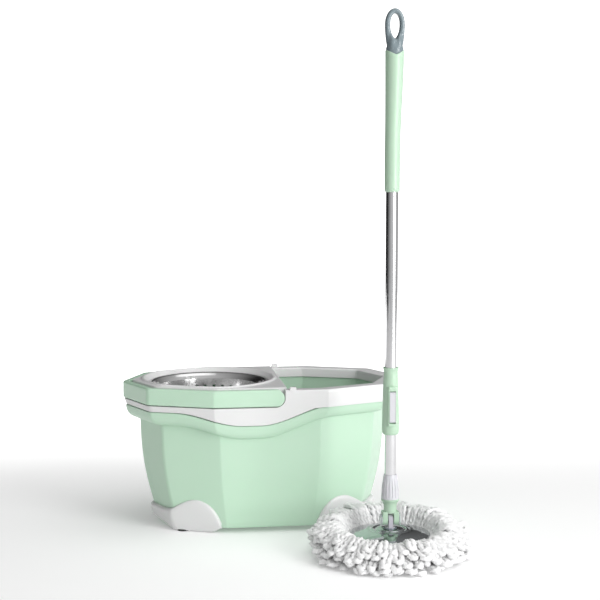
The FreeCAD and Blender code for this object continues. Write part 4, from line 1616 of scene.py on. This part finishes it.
@dataclass
class Studio:
    """A pale floor, soft lights and the camera."""

    eye: tuple[float, float, float] = (-0.3153, -2.4074, 0.6661)
    yaw: float = 7.787
    tilt: float = 6.03
    lens: float = 86.6
    floor_half: float = 3.2
    glow: tuple[float, float, float, float] = (0.2, 1.8, 0.14, 1.3)
    bright_way: tuple[float, float, float] = (0.45, -0.75, 0.45)
    surround: tuple[float, float, float, float] = (-0.6, 0.95, 0.02, 0.80)
    backdrop: float = 1.5
    lamps: tuple[Lamp, ...] = (
        Lamp("key", (1.75, -2.10, 1.06), (0.0, 0.0, 1.0), (1.3, 2.1), 56.0),
        Lamp("top", (0.6, -0.2, 2.7), (0.0, 0.0, 0.3), (2.2, 2.2), 17.0))
    transform: str = "Standard"

    def camera(self) -> None:
        """Places the camera."""
        data = bpy.data.cameras.new("camera")
        data.lens = self.lens
        data.sensor_width = 36.0
        data.clip_end = 100.0
        camera = bpy.data.objects.new("camera", data)
        yaw, tilt = math.radians(self.yaw), math.radians(self.tilt)
        look = Vector((math.sin(yaw) * math.cos(tilt), math.cos(yaw) * math.cos(tilt), -math.sin(tilt)))
        camera.location = self.eye
        camera.rotation_euler = look.to_track_quat("-Z", "Y").to_euler()
        bpy.context.scene.collection.objects.link(camera)
        bpy.context.scene.camera = camera

    def floor(self) -> None:
        """Lays the floor, which glows behind the object as a lit studio cove does."""
        shape = bmesh.new()
        bmesh.ops.create_grid(shape, x_segments=1, y_segments=1, size=self.floor_half)
        floor = new_thing("floor", shape)
        bench = NodeBench("studio_floor")
        behind = bench.add("SeparateXYZ", Vector=bench.place).outputs["Y"]
        glow = bench.add("MapRange", Value=behind)
        glow.interpolation_type = "SMOOTHSTEP"
        for name, value in zip(("From Min", "From Max", "To Min", "To Max"), self.glow):
            bench.feed(glow, name, value)
        bench.surface(Base_Color=(0.94, 0.94, 0.94, 1.0), Roughness=0.9, Emission_Color=(1.0, 1.0, 1.0, 1.0),
                      Emission_Strength=glow.outputs["Result"])
        floor.data.materials.append(bench.made)

    def hang(self, lamp: Lamp) -> None:
        """Hangs one lamp.

        Args:
            lamp: the lamp.
        """
        data = bpy.data.lights.new(lamp.name, "AREA")
        data.shape = "RECTANGLE"
        data.size, data.size_y = lamp.size
        data.energy = lamp.power
        thing = bpy.data.objects.new(lamp.name, data)
        thing.location = lamp.place
        thing.rotation_euler = (Vector(lamp.target) - Vector(lamp.place)).to_track_quat("-Z", "Y").to_euler()
        bpy.context.scene.collection.objects.link(thing)

    def world(self) -> None:
        """Surrounds the scene with soft light: bright towards the key side, dim away from it, white behind."""
        world = bpy.data.worlds.new("studio")
        world.use_nodes = True
        tree = world.node_tree
        way = tree.nodes.new("ShaderNodeTexCoord")
        toward = tree.nodes.new("ShaderNodeVectorMath")
        toward.operation = "DOT_PRODUCT"
        toward.inputs[1].default_value = Vector(self.bright_way).normalized()
        share = tree.nodes.new("ShaderNodeMapRange")
        for name, value in zip(("From Min", "From Max", "To Min", "To Max"), self.surround):
            share.inputs[name].default_value = value
        path = tree.nodes.new("ShaderNodeLightPath")
        seen = tree.nodes.new("ShaderNodeMix")
        seen.inputs["B"].default_value = self.backdrop
        tree.links.new(way.outputs["Generated"], toward.inputs[0])
        tree.links.new(toward.outputs["Value"], share.inputs["Value"])
        tree.links.new(path.outputs["Is Camera Ray"], seen.inputs["Factor"])
        tree.links.new(share.outputs["Result"], seen.inputs["A"])
        tree.nodes["Background"].inputs["Color"].default_value = (1.0, 1.0, 1.0, 1.0)
        tree.links.new(seen.outputs["Result"], tree.nodes["Background"].inputs["Strength"])
        bpy.context.scene.world = world

    def build(self) -> None:
        """Sets everything up."""
        self.camera()
        self.floor()
        self.world()
        for lamp in self.lamps:
            self.hang(lamp)
        bpy.context.scene.view_settings.view_transform = self.transform


def dress_frame() -> None:
    """Gives every node of the frame that stays in sight its finish."""
    dressed(BASKET_STEEL, "basket_wall")
    dressed(TUBE_STEEL, "lower_tube", "upper_tube")
    dressed(WHITE, "basket_hub", "yarn_ring")
    dressed(MINT, "spindle_post")
    dressed(GREY, "plate_base")
    dressed(NYLON, "drive_nut", "guide_bush", "rod_plug", "spindle_bush", "thrust_washer")
    dressed(PLAIN_STEEL, "spindle_pin", "post_screws", "foot_screws", "hub_screws", "hub_bolt", "yoke_pin",
            "lever_pin", "rod_rivet", "spiral_rod")
    dressed(PAD_RUBBER, "foot_pads")


def main() -> None:
    """Builds every sub-assembly in order."""
    logging.basicConfig(level=logging.INFO, format="%(name)s %(message)s")
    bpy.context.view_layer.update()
    Studio().build()
    dress_frame()
    tub = Tub()
    tub.build()
    Collar().build()
    CarryHandle().build()
    Deck().build()
    for front in (True, False):
        for left in (True, False):
            Foot(front, left).build(tub)
    MopPlate().build()
    YarnHead().build()
    Neck().build()
    build_fittings()
    Grip().build()
    Hanger().build()


if __name__ == "__main__":
    main()
